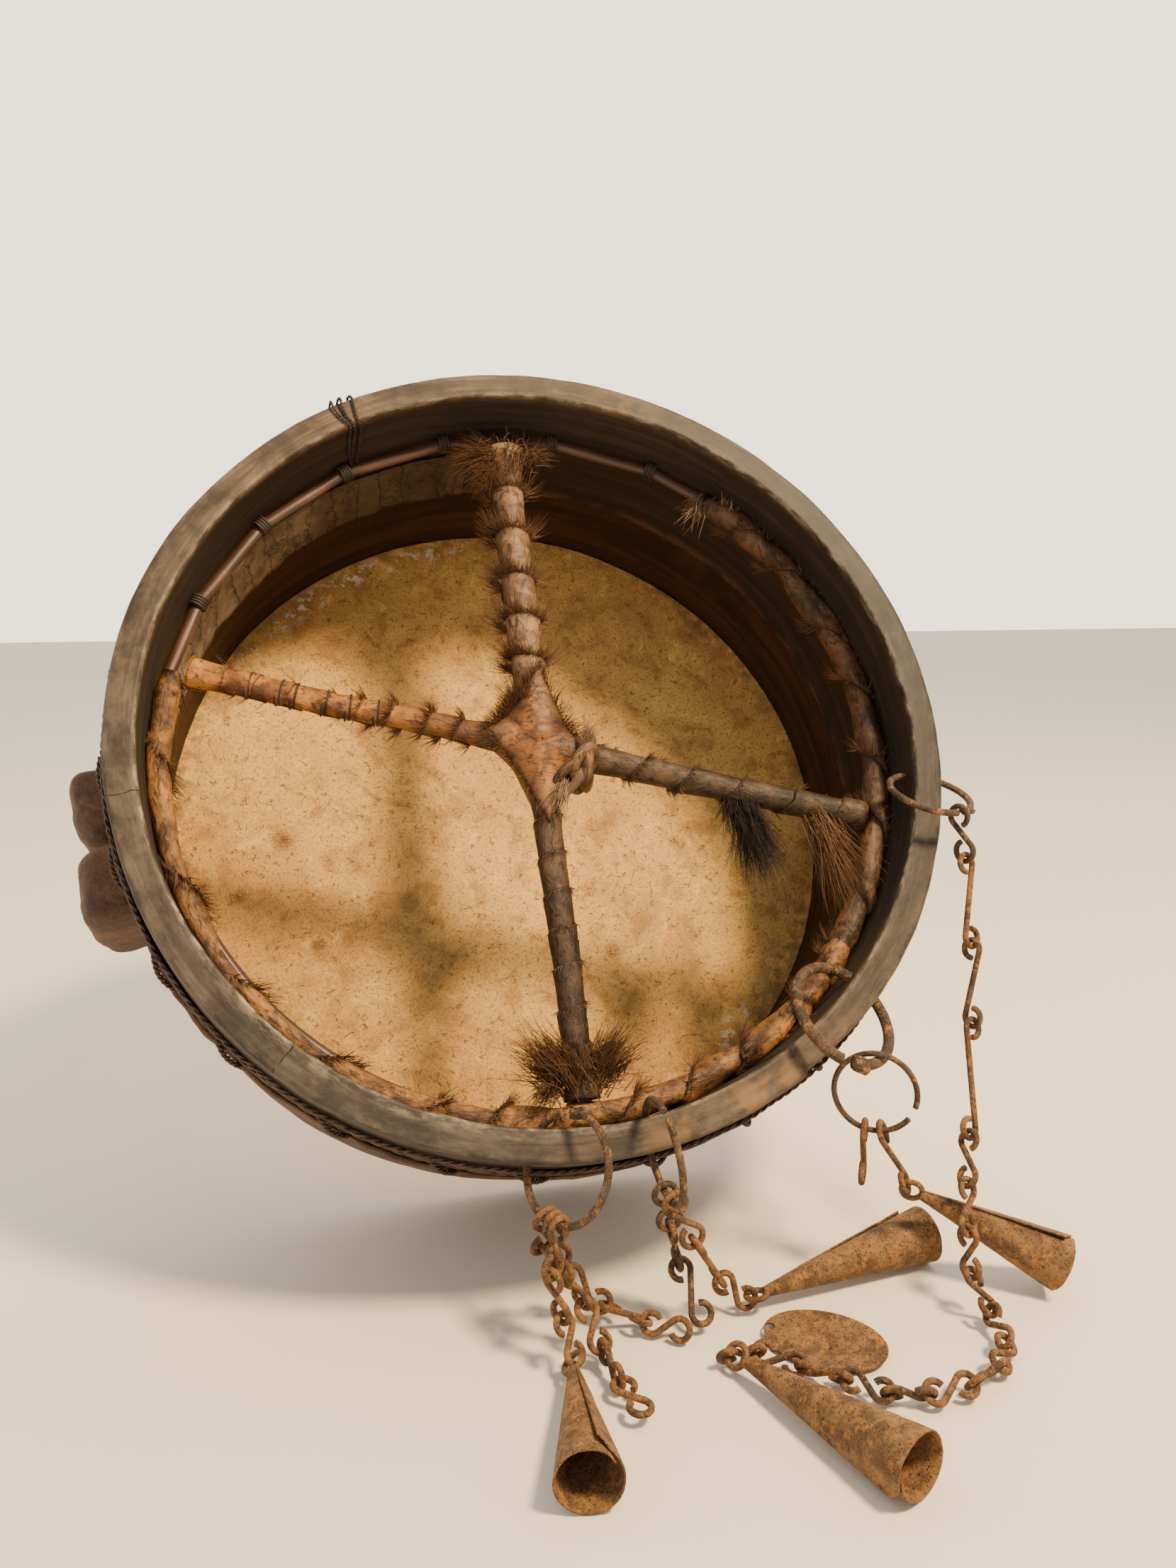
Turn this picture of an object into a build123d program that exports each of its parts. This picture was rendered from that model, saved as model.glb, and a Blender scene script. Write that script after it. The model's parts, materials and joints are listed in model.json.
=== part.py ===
"""Frame drum with a hide head, a wrapped cross handle and iron jingles on chains.

The drum leans back and its chains lie on the level surface that it rests on.
Row frame: origin at the hand grip, where the two cross sticks meet, +Z up,
the open back faces -Y and tips up by LEAN degrees, +X is the holder's right.
"""
from build123d import *
from math import acos, asin, cos, degrees, pi, radians, sin
import os

os.makedirs("parts", exist_ok=True)

# ---------------------------------------------------------------- driving sizes, mm
LEAN = 30.0                # the drum axis rises this many degrees above level
HOOP_R = 230.0             # outside of the bent hoop
HOOP_WALL = 17.0           # width of the rim face
HOOP_DEPTH = 104.0         # rear hoop, from the rim back to the ridge
SHELL_DEPTH = 168.0        # rim to the inner face of the head
HEAD_HOOP_WALL = 13.0
HEAD_T = 1.8
HIDE_T = 2.4
HIDE_LIP_R = 235.4         # rolled edge of the hide behind the rim
HIDE_LIP_DEPTH = 44.0
TIE_R = 206.0              # cane tie ring, centre line
TIE_CANE = 4.0             # its section radius
TIE_DEPTH = 38.0
TIE_WRAP = 6.8             # outside of the hide wrapping on the tie ring
STICK = 4.5                # section radius of the two sticks
ARM_START = 30.0           # wrapped arms begin this far from the crossing
ARM_END = 197.0
CROSS_TURN = -15.0         # the cross stick dips to the right
CORD = 1.2                 # section radius of thin black cord
GAP = 0.15                 # half the air between two wires that touch
CHAIN_WIRE = 1.6           # section radius of the chain wire
EYE = 4.9                  # centre-line radius of a link's eye
RING_EYE = 5.6             # the same on a link that hangs from a ring
TABLE_Z = -270.0           # the level surface under the drum
LYING_Z = TABLE_Z + 7.0    # centre height of a link that lies on it
CONE_MOUTH_R = 15.0
CONE_Z = TABLE_Z + CONE_MOUTH_R + 0.2       # a lying cone's mouth centre
DISC_LENGTH, DISC_WIDTH, DISC_T = 60.0, 40.0, 1.2
DISC_HOLE_R = 2.6

RIM_DEPTH = 14.0           # ring holes, behind the rim face
HOLE_R_MID = HOOP_R - HOOP_WALL / 2

# the drum's own plane: origin on its axis at the rim face, z out of the open back
DRUM = Plane(
    origin=(0, -TIE_DEPTH * cos(radians(LEAN)), TIE_DEPTH * sin(radians(LEAN))),
    x_dir=(1, 0, 0),
    z_dir=(0, -cos(radians(LEAN)), sin(radians(LEAN))),
)

nodes = {}                 # node name -> list of solids
joints = []                # (joint name, parent node, child node, point, axis)


def on_drum(shape):
    """Place a shape that was made about the drum's axis."""
    return DRUM.location * shape


def polar(radius, angle, depth=0.0):
    a = radians(angle)
    return Vector(radius * cos(a), radius * sin(a), -depth)


def band(r_in, r_out, deep_from, deep_to):
    """Round band about the drum's axis between two depths behind the rim."""
    height = deep_to - deep_from
    middle = Pos(0, 0, -(deep_from + deep_to) / 2)
    return middle * (Cylinder(r_out, height) - Cylinder(r_in, height + 1))


def sector(shape, start, size, reach=400.0):
    """Keep the part of a shape between two angles about the drum's axis."""
    arc = CenterArc((0, 0), reach, start, size)
    face = make_face(Curve() + [Line((0, 0), arc @ 0), arc, Line(arc @ 1, (0, 0))])
    return shape & (Pos(0, 0, -reach / 2) * extrude(face, reach))


def arc_tube(radius, section, start=0.0, size=360.0, hollow=0.0):
    """A round tube or bar bent about the z axis, from one angle through another."""
    face = Circle(section) - Circle(hollow) if hollow else Circle(section)
    swept = revolve(Plane.XZ * (Pos(radius, 0) * face), Axis.Z, size)
    return Rot(0, 0, start) * swept


# ---------------------------------------------------------------- rim rings
# name: angle round the rim, swing along the rim, droop, ring radius, wire radius
RIM_RINGS = {
    "rim_ring_left": (-97.7, -38.0, 23.0, 26.0, 1.9),
    "rim_ring_middle": (-82.4, 0.0, 22.0, 25.0, 1.8),
    "rim_ring_thick": (-44.5, 61.0, -6.0, 29.0, 2.9),
    "rim_ring_right": (-9.5, 46.0, -3.0, 23.0, 1.9),
}


def ring_frame(name):
    """Centre, hole axis and hole-to-centre direction of a rim ring, in the drum's plane."""
    angle, swing, droop, radius, wire = RIM_RINGS[name]
    outward = polar(1, angle)
    along_rim = Vector(sin(radians(angle)), -cos(radians(angle)), 0)
    out_of_face = Vector(0, 0, 1)
    s, d = radians(swing), radians(droop)
    level = out_of_face * cos(s) + along_rim * sin(s)
    to_centre = level * cos(d) + outward * sin(d)
    hole_axis = outward * cos(d) - level * sin(d)
    hole = polar(HOLE_R_MID, angle, RIM_DEPTH)
    sagitta = radius - (radius**2 - (HOOP_WALL / 2) ** 2) ** 0.5
    centre = hole + to_centre * (radius - sagitta / 2)
    return hole, centre, hole_axis, to_centre, radius, wire


def ring_point(name, turn):
    """A point on the ring's centre line, its inward direction and tangent, in the row frame."""
    hole, centre, hole_axis, to_centre, radius, wire = ring_frame(name)
    out = hole_axis * cos(radians(turn)) + to_centre * sin(radians(turn))
    tangent = to_centre * cos(radians(turn)) - hole_axis * sin(radians(turn))
    place = DRUM.from_local_coords(centre + out * radius)
    origin = DRUM.from_local_coords(Vector(0, 0, 0))
    return place, origin - DRUM.from_local_coords(out), DRUM.from_local_coords(tangent) - origin


def lowest_turn(name):
    turns = [0.5 * k for k in range(720)]
    return min(turns, key=lambda t: ring_point(name, t)[0].Z)


def ring_bore(name):
    """The hole through the hoop that a ring hangs in."""
    hole, centre, hole_axis, to_centre, radius, wire = ring_frame(name)
    place = Plane(origin=hole, z_dir=hole_axis)
    return place.location * Cylinder(wire + 1.9, HOOP_WALL + 30)


def rim_ring(name, gap_turn, gap=14.0):
    """An open iron ring with one hammered flat end."""
    hole, centre, hole_axis, to_centre, radius, wire = ring_frame(name)
    place = Plane(origin=centre, x_dir=hole_axis, z_dir=hole_axis.cross(to_centre))
    body = arc_tube(radius, wire, gap_turn + gap / 2, 360 - gap)
    end = polar(radius, gap_turn - gap / 2 - 9)
    tab = Pos(*end) * Rot(0, 0, gap_turn) * Box(wire * 2.9, 9, wire * 1.1)
    return on_drum(place.location * (body + fillet(tab.edges().filter_by(Axis.Z), 1.2)))


# ---------------------------------------------------------------- wooden shell
SCARF_START, SCARF_SIZE = -84.0, 24.0     # degrees round the rim
SCARF_T = 7.0              # thickness of the lapped outer layer
LACE_HOLE_R, LACE_HOLE_DEPTH = 2.2, 30.0
LACE_HOLE_ANGLES = (4, -14)


def rear_hoop():
    hoop = band(HOOP_R - HOOP_WALL, HOOP_R, 0, HOOP_DEPTH)
    rim_edges = hoop.edges().filter_by(GeomType.CIRCLE).group_by(Axis.Z)[-1]
    hoop = fillet(rim_edges, 2.5)
    for name in RIM_RINGS:
        hoop -= ring_bore(name)
    for angle in LACE_HOLE_ANGLES:
        place = Rot(0, 0, angle) * Pos(HOLE_R_MID, 0, -LACE_HOLE_DEPTH) * Rot(0, 90, 0)
        hoop -= place * Cylinder(LACE_HOLE_R, 30)
    return hoop


def scarf_space():
    """The outer layer of the hoop's lap joint."""
    layer = band(HOOP_R - SCARF_T, HOOP_R + 1, -1, HOOP_DEPTH)
    return sector(layer, SCARF_START, SCARF_SIZE)


def make_shell():
    hoop = rear_hoop()
    nodes["rear_hoop"] = [on_drum(hoop - scarf_space())]
    nodes["hoop_lap_end"] = [on_drum(hoop & scarf_space())]
    head_hoop = band(HOOP_R - HEAD_HOOP_WALL, HOOP_R, HOOP_DEPTH, SHELL_DEPTH)
    nodes["head_hoop"] = [on_drum(head_hoop)]


# ---------------------------------------------------------------- resonators and hide
BLOCK_FROM, BLOCK_TO = 62.0, 150.0          # depths behind the rim
BLOCK_HALF = 19.0          # half of a block's width round the hoop
# name: angle round the hoop, height over it
BLOCKS = {"resonator_block_upper": (184.0, 20.0), "resonator_block_lower": (194.5, 24.0)}


def resonator_block(angle, proud, grow=0.0):
    """A rounded wooden block outside the hoop, fat at its middle."""
    length = BLOCK_TO - BLOCK_FROM + 2 * grow
    width = BLOCK_HALF + grow
    hump = Cylinder(width, length)
    hump = fillet(hump.edges().filter_by(GeomType.CIRCLE), 9 + grow)
    place = Rot(0, 0, angle) * Pos(HOOP_R + proud - BLOCK_HALF, 0, -(BLOCK_FROM + BLOCK_TO) / 2)
    return place * hump


def make_hide():
    outside = [
        (0, -SHELL_DEPTH),
        (HOOP_R, -SHELL_DEPTH),
        (HOOP_R, -HIDE_LIP_DEPTH),
        (HIDE_LIP_R, -HIDE_LIP_DEPTH),
        (HIDE_LIP_R + 0.8, -HIDE_LIP_DEPTH - 6),
        (HOOP_R + HIDE_T + 1.2, -HIDE_LIP_DEPTH - 18),
        (HOOP_R + HIDE_T, -SHELL_DEPTH + 4),
        (HOOP_R - 3, -SHELL_DEPTH - HEAD_T),
        (0, -SHELL_DEPTH - HEAD_T),
    ]
    profile = Plane.XZ * make_face(Polyline(*outside, close=True))
    hide = revolve(profile, Axis.Z)
    shell_space = Pos(0, 0, -SHELL_DEPTH / 2) * Cylinder(HOOP_R, SHELL_DEPTH)
    for name, (angle, proud) in BLOCKS.items():
        hide += resonator_block(angle, proud, HIDE_T) - shell_space
    upper, lower = [resonator_block(*BLOCKS[name]) - shell_space for name in BLOCKS]
    lower -= upper
    hide -= upper + lower
    nodes["drum_hide"] = [on_drum(hide)]
    nodes["resonator_block_upper"] = [on_drum(upper)]
    nodes["resonator_block_lower"] = [on_drum(lower)]


LACING_CORD = 2.2
LACING_DEPTHS = (27, 33, 39)


def make_lacing():
    around = arc_tube(HOOP_R + LACING_CORD + 0.4, LACING_CORD)
    strands = [Pos(0, 0, -depth) * around for depth in LACING_DEPTHS]
    nodes["lacing_cord"] = [on_drum(strand) for strand in strands]


LINER_T = 1.2
LINER_FROM, LINER_TO = 58.0, HOOP_DEPTH - 2
LINER_START, LINER_SIZE = 96.0, 80.0        # degrees round the rim


def make_liner():
    inner = HOOP_R - HOOP_WALL
    strip = band(inner - LINER_T, inner, LINER_FROM, LINER_TO)
    nodes["liner_strip"] = [on_drum(sector(strip, LINER_START, LINER_SIZE))]


# ---------------------------------------------------------------- tie ring
KNOT_ANGLES = (153, 136, 119, 101, 82, 64)
WRAPS = {
    "ring_wrap_right": (-37.0, 90.0),
    "ring_wrap_bottom": (-109.0, 71.0),
    "ring_wrap_left": (167.0, 83.0),
}


def make_tie_ring():
    level = Pos(0, 0, -TIE_DEPTH)
    nodes["tie_ring"] = [on_drum(level * arc_tube(TIE_R, TIE_CANE))]
    for name, (start, size) in WRAPS.items():
        nodes[name] = [on_drum(level * arc_tube(TIE_R, TIE_WRAP, start, size, TIE_CANE))]
    ties = []
    for angle in KNOT_ANGLES:
        loop = Rot(90, 0, 0) * arc_tube(TIE_CANE + CORD + 0.05, CORD)
        ties.append(on_drum(Rot(0, 0, angle) * Pos(TIE_R, 0, -TIE_DEPTH) * loop))
    nodes["ring_ties"] = ties


# ---------------------------------------------------------------- cross handle
# name: direction in the drum's plane, outside radius of the wrapping
ARMS = {
    "arm_wrap_top": (91.0, 9.0),
    "arm_wrap_left": (180 + CROSS_TURN, 7.0),
    "arm_wrap_right": (CROSS_TURN, 7.5),
    "arm_wrap_bottom": (-89.0, 7.6),
}


UPRIGHT_TURN = 91.0
PATCH_TIPS = ((2, 34), (-34, 10), (0, -44), (26, -6))
PATCH_T = 22.0
KNOT_CENTRE, KNOT_R = (24, -17, 12), 10.5


def stick(angle, half, radius=STICK):
    """A round stick through the crossing, made about the grip."""
    return Rot(0, 0, angle) * Rot(0, 90, 0) * Cylinder(radius, 2 * half)


def at_grip(shape):
    return on_drum(Pos(0, 0, -TIE_DEPTH) * shape)


def make_cross():
    upright = stick(UPRIGHT_TURN, ARM_END + 1.5)
    across = stick(CROSS_TURN, ARM_END + 1.5)
    front = Pos(0, 0, 25) * Box(60, 60, 50)
    rear = Pos(0, 0, -25) * Box(60, 60, 50)
    fat_across = stick(CROSS_TURN, ARM_END, STICK + 0.01)
    fat_upright = stick(UPRIGHT_TURN, ARM_END, STICK + 0.01)
    upright -= fat_across & rear
    across -= fat_upright & front
    nodes["upright_stick"] = [at_grip(upright)]
    nodes["cross_stick"] = [at_grip(across)]
    sticks = upright + across
    wraps = []
    for name, (angle, radius) in ARMS.items():
        length = ARM_END - ARM_START
        tube = Cylinder(radius, length) - Cylinder(STICK, length + 2)
        tube = Rot(0, 0, angle) * Pos((ARM_START + ARM_END) / 2, 0, 0) * Rot(0, 90, 0) * tube
        wraps.append(tube)
        nodes[name] = [at_grip(tube)]
    diamond = make_face(Polyline(*PATCH_TIPS, close=True))
    patch = extrude(Pos(0, 0, -PATCH_T / 2 + 1) * diamond, PATCH_T)
    patch -= sticks
    for tube in wraps:
        patch -= tube
    nodes["centre_patch"] = [at_grip(patch)]
    knot = Pos(*KNOT_CENTRE) * Sphere(KNOT_R)
    knot -= patch + sticks
    for tube in wraps:
        knot -= tube
    nodes["centre_knot"] = [at_grip(knot.solids().sort_by(SortBy.VOLUME)[-1])]
    make_tufts()


def tuft(root, tip, thick):
    """A tuft of fur: a blunt cone from its root to its tip."""
    way = Vector(*tip) - Vector(*root)
    place = Plane(origin=Vector(*root) + way * 0.5, z_dir=way)
    return place.location * Cone(thick, 1.5, way.length)


def make_tufts():
    nodes["tuft_black"] = [at_grip(tuft((119, -50, -1), (123, -76, 2), 6.0))]
    nodes["tuft_brown"] = [at_grip(tuft((163, -64, 2), (170, -90, 6), 6.0))]
    left = tuft((-12, -186, 3), (-28, -166, 8), 6.0)
    right = tuft((18, -186, 3), (29, -166, 8), 5.0)
    nodes["foot_tufts"] = [at_grip(left), at_grip(right)]


# ---------------------------------------------------------------- repair cord
def make_repair_cord():
    """Two strands tied over the rim, from the hide lacing to the tie ring."""
    inner = HOOP_R - HOOP_WALL - CORD - 0.1
    outer = HOOP_R + CORD + 0.1
    strands = []
    for angle in (115.6, 117.2):
        corners = [
            (outer, 0, -22),
            (outer, 0, CORD + 0.1),
            (inner, 0, CORD + 0.1),
            (inner, 0, -52),
        ]
        path = FilletPolyline(*corners, radius=2.2)
        start = Plane(origin=path @ 0, z_dir=path % 0)
        strand = sweep(start * Circle(CORD), path=path)
        strands.append(on_drum(Rot(0, 0, angle) * strand))
    nodes["repair_cord"] = strands


# ---------------------------------------------------------------- iron chains
def unit(v):
    return v * (1 / v.length)


def square_to(v, way):
    """The part of v at right angles to way, as a unit vector."""
    return unit(v - way * v.dot(way))


def s_link(start, end, normal, reach_a, reach_b, eye):
    """An S-shaped link of bent wire: two eyes that curl opposite ways and a stem."""
    way = end - start
    span = way.length
    first = Vector(eye - reach_a, 0)
    last = Vector(span - (eye - reach_b), 0)
    lean = degrees(asin(2 * eye / (last.X - first.X)))
    mouth = degrees(acos(1 - (2 * CHAIN_WIRE + 0.7) / eye))
    turn = 360 - mouth
    eye_a = CenterArc(first, eye, lean - 90 - turn, turn)
    eye_b = CenterArc(last, eye, 90 + lean, -turn)
    stem = Line(eye_a @ 1, eye_b @ 0)
    place = Plane(origin=start, x_dir=unit(way), z_dir=normal)
    path = Wire([eye_a, stem, eye_b])
    section = Plane(origin=path @ 0, z_dir=path % 0) * Circle(CHAIN_WIRE)
    return place.location * sweep(section, path=path)


def small_eye(span):
    """Short links have smaller eyes, so that the two do not touch."""
    return min(EYE, (span + 1.0) / 4.4)


def chain(prefix, parent, start, knots, normal, runs, lead):
    """Links from knot to knot. Each run of links is one node, hinged to the one before.

    Neighbouring links stand square to each other. Returns the last node with the
    centre, radius and normal of its last eye, so that a jingle can hang from it.
    """
    points = [Vector(*start)] + [Vector(*k) for k in knots]
    ways = [unit(b - a) for a, b in zip(points, points[1:])]
    before = [lead] + ways[:-1]
    after = ways[1:] + [ways[-1]]

    def reach(one, two):
        return CHAIN_WIRE + GAP + 1.7 * sin(one.get_angle(two) * pi / 360)

    normals = []
    for way in ways:
        normal = square_to(Vector(*normal), way)
        if normals:
            normal = way.cross(normal)
        normals.append(normal)
    links = []
    for k, way in enumerate(ways):
        ends = reach(before[k], way), reach(way, after[k])
        eye = small_eye((points[k + 1] - points[k]).length)
        if k == 0:
            eye = RING_EYE
        links.append(s_link(points[k], points[k + 1], normals[k], *ends, eye))
    first = 0
    for number, count in enumerate(runs, 1):
        name = f"{prefix}_{number:02d}" if len(runs) > 1 else prefix
        nodes[name] = links[first:first + count]
        if first:
            axis = unit(before[first].cross(normals[first - 1]))
        else:
            axis = normals[0]
        joints.append((name + "_hinge", parent, name, points[first], axis))
        parent, first = name, first + count
    return parent, points[-1] + ways[-1] * (ends[1] - eye), eye, normals[-1]


def bears_on(eye, mouth):
    """Where a jingle's hook pulls on an eye, and the eye's wire direction there."""
    parent, centre, radius, normal = eye
    pull = square_to(Vector(*mouth) - centre, normal)
    return centre + pull * (radius - CHAIN_WIRE - GAP), normal.cross(pull)


def sheet_cone(name, eye, mouth, seam):
    """A jingle rolled from sheet iron: a long cone with an open seam and a hook at its tip."""
    loop, hook_normal = bears_on(eye, mouth)
    way = Vector(*mouth) - loop
    place = Plane(origin=loop, x_dir=square_to(Vector(*seam), unit(way)), z_dir=way)
    length = way.length
    neck, wall = 2.6, 1.0
    hook_r, hook_wire = 5.3, 1.5
    slack = 0.95
    hook_at = hook_r - hook_wire - GAP - slack
    tip = hook_at + hook_r - 0.8
    height = length - tip
    outer = Cone(neck, CONE_MOUTH_R, height)
    inner = Cone(neck - wall, CONE_MOUTH_R - wall, height + 0.02)
    shell = outer - (Pos(0, 0, 3.0) * inner)
    slit = Pos(CONE_MOUTH_R, 0, height * 0.1) * Box(2 * CONE_MOUTH_R, 2.2, height)
    shell = Pos(0, 0, tip + height / 2) * (shell - slit)
    across = square_to(hook_normal, unit(way))
    hook_place = Plane(origin=loop + unit(way) * hook_at, x_dir=way, z_dir=across)
    hook = hook_place.location * arc_tube(hook_r, hook_wire)
    nodes[name] = [place.location * shell + hook]
    joints.append((name + "_hinge", eye[0], name, loop, across))


def oval_disc(name, parent, hole, centre, up):
    """An oval sheet-iron plate with a hole near one end."""
    hole, centre = Vector(*hole), Vector(*centre)
    way = unit(centre - hole)
    place = Plane(origin=centre, x_dir=way, z_dir=square_to(Vector(*up), way))
    plate = extrude(Pos(0, 0, -DISC_T / 2) * Ellipse(DISC_LENGTH / 2, DISC_WIDTH / 2), DISC_T)
    plate -= Pos(-(centre - hole).length, 0, 0) * Cylinder(DISC_HOLE_R, 3 * DISC_T)
    nodes[name] = [place.location * plate]
    joints.append((name + "_hinge", parent, name, hole, place.y_dir))


def hung_on(ring, turn):
    """Where a link's eye bears on a rim ring, the ring's tangent there and its way out."""
    place, inward, tangent = ring_point(ring, turn)
    wire = RIM_RINGS[ring][4]
    return place + inward * (wire + 2 * GAP), tangent, inward * -1


def make_rim_rings():
    for name, gap_turn in zip(RIM_RINGS, (205, 150, 60, 60)):
        nodes[name] = [rim_ring(name, gap_turn)]
        hole, centre, hole_axis = ring_frame(name)[:3]
        origin = DRUM.from_local_coords(Vector(0, 0, 0))
        point = DRUM.from_local_coords(hole)
        axis = DRUM.from_local_coords(hole_axis) - origin
        joints.append((name + "_swing", "rear_hoop", name, point, axis))


def make_right_chain():
    """The longest chain: from the right rim ring down, then across to the front cone."""
    start, tangent, out = hung_on("rim_ring_right", lowest_turn("rim_ring_right"))
    falling = [
        (224, -86, -57), (221, -102, -101), (217, -114, -142), (202, -141, -192),
        (194, -155, -211), (187, -169, -229),
    ]
    lying = [
        (186, -176, -248), (189, -190, -260), (186, -209, LYING_Z), (173, -224, LYING_Z),
        (154, -232, LYING_Z), (132, -234, LYING_Z), (114, -229, LYING_Z), (100, -216, LYING_Z),
        (83, -204, LYING_Z), (68, -189, LYING_Z), (50, -189, LYING_Z),
    ]
    end = chain("right_chain", "rim_ring_right", start, falling + lying,
                tangent, [1, 1, 1, 1, 2, 2, 2, 2, 2, 3], out)
    sheet_cone("cone_front", end, (102, -283, CONE_Z), (-1, -0.5, 0.6))


def make_left_chains():
    """Three strands on the left rim ring: to a cone, to a free end and to the right."""
    low = lowest_turn("rim_ring_left")
    start, tangent, out = hung_on("rim_ring_left", low + 13)
    end = chain("left_chain_cone", "rim_ring_left", start,
                [(-27, -166, -224), (-23, -171, -244), (-18, -180, -260)], tangent, [2, 1], out)
    sheet_cone("cone_left", end, (-31, -260, CONE_Z), (1, 0, 0.7))
    start, tangent, out = hung_on("rim_ring_left", low + 1)
    chain("left_chain_loose", "rim_ring_left", start,
          [(-20, -156, -226), (-10, -161, -245), (-5, -175, -259), (-1, -195, LYING_Z),
           (4, -216, LYING_Z)], tangent, [1, 2, 2], out)
    start, tangent, out = hung_on("rim_ring_left", low - 12)
    chain("left_chain_link", "rim_ring_left", start,
          [(-27, -143, -224), (-13, -137, -243), (4, -144, -259), (22, -156, LYING_Z),
           (39, -167, LYING_Z)], tangent, [1, 2, 2], out)


def make_middle_chains():
    """Two strands on the middle rim ring: a free one and one with a cone and a disc."""
    low = lowest_turn("rim_ring_middle")
    start, tangent, out = hung_on("rim_ring_middle", low - 14)
    chain("middle_chain_left", "rim_ring_middle", start,
          [(37, -146, -219), (41, -147, -240), (50, -162, -262)], tangent, [2, 1], out)
    start, tangent, out = hung_on("rim_ring_middle", low + 14)
    end = chain("middle_chain_right", "rim_ring_middle", start,
                [(46, -158, -222), (62, -150, -250), (78, -152, LYING_Z)], tangent, [1, 2], out)
    sheet_cone("cone_middle", end, (188, -127, CONE_Z), (0, 1, -0.4))
    oval_disc("oval_disc", end[0], (82, -168, TABLE_Z + 3), (104, -184, TABLE_Z + 3.5),
              (0, -0.08, 1))


def make_thick_ring_chain():
    place, inward, tangent = ring_point("rim_ring_thick", lowest_turn("rim_ring_thick"))
    radius, wire = 21.0, 1.5
    centre = place + Vector(0, 0, 1) * (RIM_RINGS["rim_ring_thick"][4] + wire + 2 * GAP - radius)
    facing = square_to(tangent * 0.75 + Vector(-0.2, -0.95, 0.2), Vector(0, 0, 1))
    plane = Plane(origin=centre, x_dir=(0, 0, -1), z_dir=facing)
    ring = plane.location * arc_tube(radius, wire, 75, 340)
    nodes["wire_ring"] = [ring]
    joints.append(("wire_ring_hinge", "rim_ring_thick", "wire_ring", place, tangent))
    sideways = plane.y_dir
    across = plane.x_dir
    for prefix, turn, knots, runs in (
        ("hanging_link", -14, [(0, 0, -30)], [1]),
        ("cone_link", 10, [(17, 0, -36)], [1]),
    ):
        out = across * cos(radians(turn)) + sideways * sin(radians(turn))
        bear = centre + out * (radius - wire - GAP)
        knots = [tuple(bear + Vector(*k)) for k in knots]
        tangent = sideways * cos(radians(turn)) - across * sin(radians(turn))
        end = chain(prefix, "wire_ring", bear, knots, tangent, runs, out)
    sheet_cone("cone_right", end, (243, -170, CONE_Z), (0.3, 0.5, 0.8))


make_shell()
make_hide()
make_lacing()
make_liner()
make_tie_ring()
make_cross()
make_repair_cord()
make_rim_rings()
make_right_chain()
make_left_chains()
make_middle_chains()
make_thick_ring_chain()

for node, solids in nodes.items():
    shape = solids[0] if len(solids) == 1 else Compound(children=list(solids))
    export_step(shape, f"parts/{node}.step")
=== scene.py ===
"""Looks of the frame drum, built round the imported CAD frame.

Shapes are worked out in the drum's own coordinates, in millimetres: u to the
right, w up the rim plane, h out of the open back (0 at the rim face, negative
inside). place() turns them into the row frame in metres.
"""
import json
from itertools import product
from math import atan2, cos, pi, radians, sin, tau

import bmesh
import bpy
import numpy as np
from mathutils import Matrix, Vector


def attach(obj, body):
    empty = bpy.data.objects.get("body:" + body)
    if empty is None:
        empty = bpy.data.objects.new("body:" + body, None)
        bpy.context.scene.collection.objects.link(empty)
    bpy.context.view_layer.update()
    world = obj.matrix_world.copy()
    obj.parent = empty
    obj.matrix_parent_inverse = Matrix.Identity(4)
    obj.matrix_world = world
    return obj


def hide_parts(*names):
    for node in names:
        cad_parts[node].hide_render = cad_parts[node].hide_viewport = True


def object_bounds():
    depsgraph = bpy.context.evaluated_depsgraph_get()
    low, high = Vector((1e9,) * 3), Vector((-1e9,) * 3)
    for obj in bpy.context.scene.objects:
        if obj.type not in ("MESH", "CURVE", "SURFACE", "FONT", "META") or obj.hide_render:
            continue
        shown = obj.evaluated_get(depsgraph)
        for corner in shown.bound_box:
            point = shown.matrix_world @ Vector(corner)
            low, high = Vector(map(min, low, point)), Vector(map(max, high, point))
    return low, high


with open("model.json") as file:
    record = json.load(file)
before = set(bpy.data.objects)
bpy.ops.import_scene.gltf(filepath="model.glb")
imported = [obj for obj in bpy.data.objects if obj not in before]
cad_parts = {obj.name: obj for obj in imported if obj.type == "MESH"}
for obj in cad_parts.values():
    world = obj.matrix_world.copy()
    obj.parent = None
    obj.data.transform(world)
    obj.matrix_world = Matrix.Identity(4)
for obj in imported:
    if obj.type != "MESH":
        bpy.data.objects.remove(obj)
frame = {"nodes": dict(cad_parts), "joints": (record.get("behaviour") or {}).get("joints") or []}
cad_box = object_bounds()

# ---------------------------------------------------------------- sizes, mm
LEAN = radians(30)
GRIP_H = -38.0             # the handle and the tie ring lie at this height
RIM_OUT, RIM_IN = 230.0, 213.0
RIDGE_H = -104.0           # where the rear hoop ends and the head hoop begins
HEAD_H = -168.0
HEAD_HOOP_IN = 217.0
LIP_H = -44.0              # the hide's edge behind the rim
TIE_R = 206.0
ARM_START, ARM_END = 30.0, 197.0
WALL_MID = 221.5           # middle of the rim face
HIDE_R = 232.0             # the flank's hide and its lacing
HEAD_T = 1.8
LAP = -60.0                # the outer end of the hoop's lap joint, degrees
SEAM = -131.0              # the hoop's butt joint, degrees
rng = np.random.default_rng(7)


def place(u, w, h):
    """Drum coordinates in mm to row-frame points in metres."""
    u, w, h = np.broadcast_arrays(np.asarray(u, float), w, h)
    out = h - GRIP_H
    y = w * sin(LEAN) - out * cos(LEAN)
    z = w * cos(LEAN) + out * sin(LEAN)
    return np.stack([u, y, z], -1) / 1000


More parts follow.
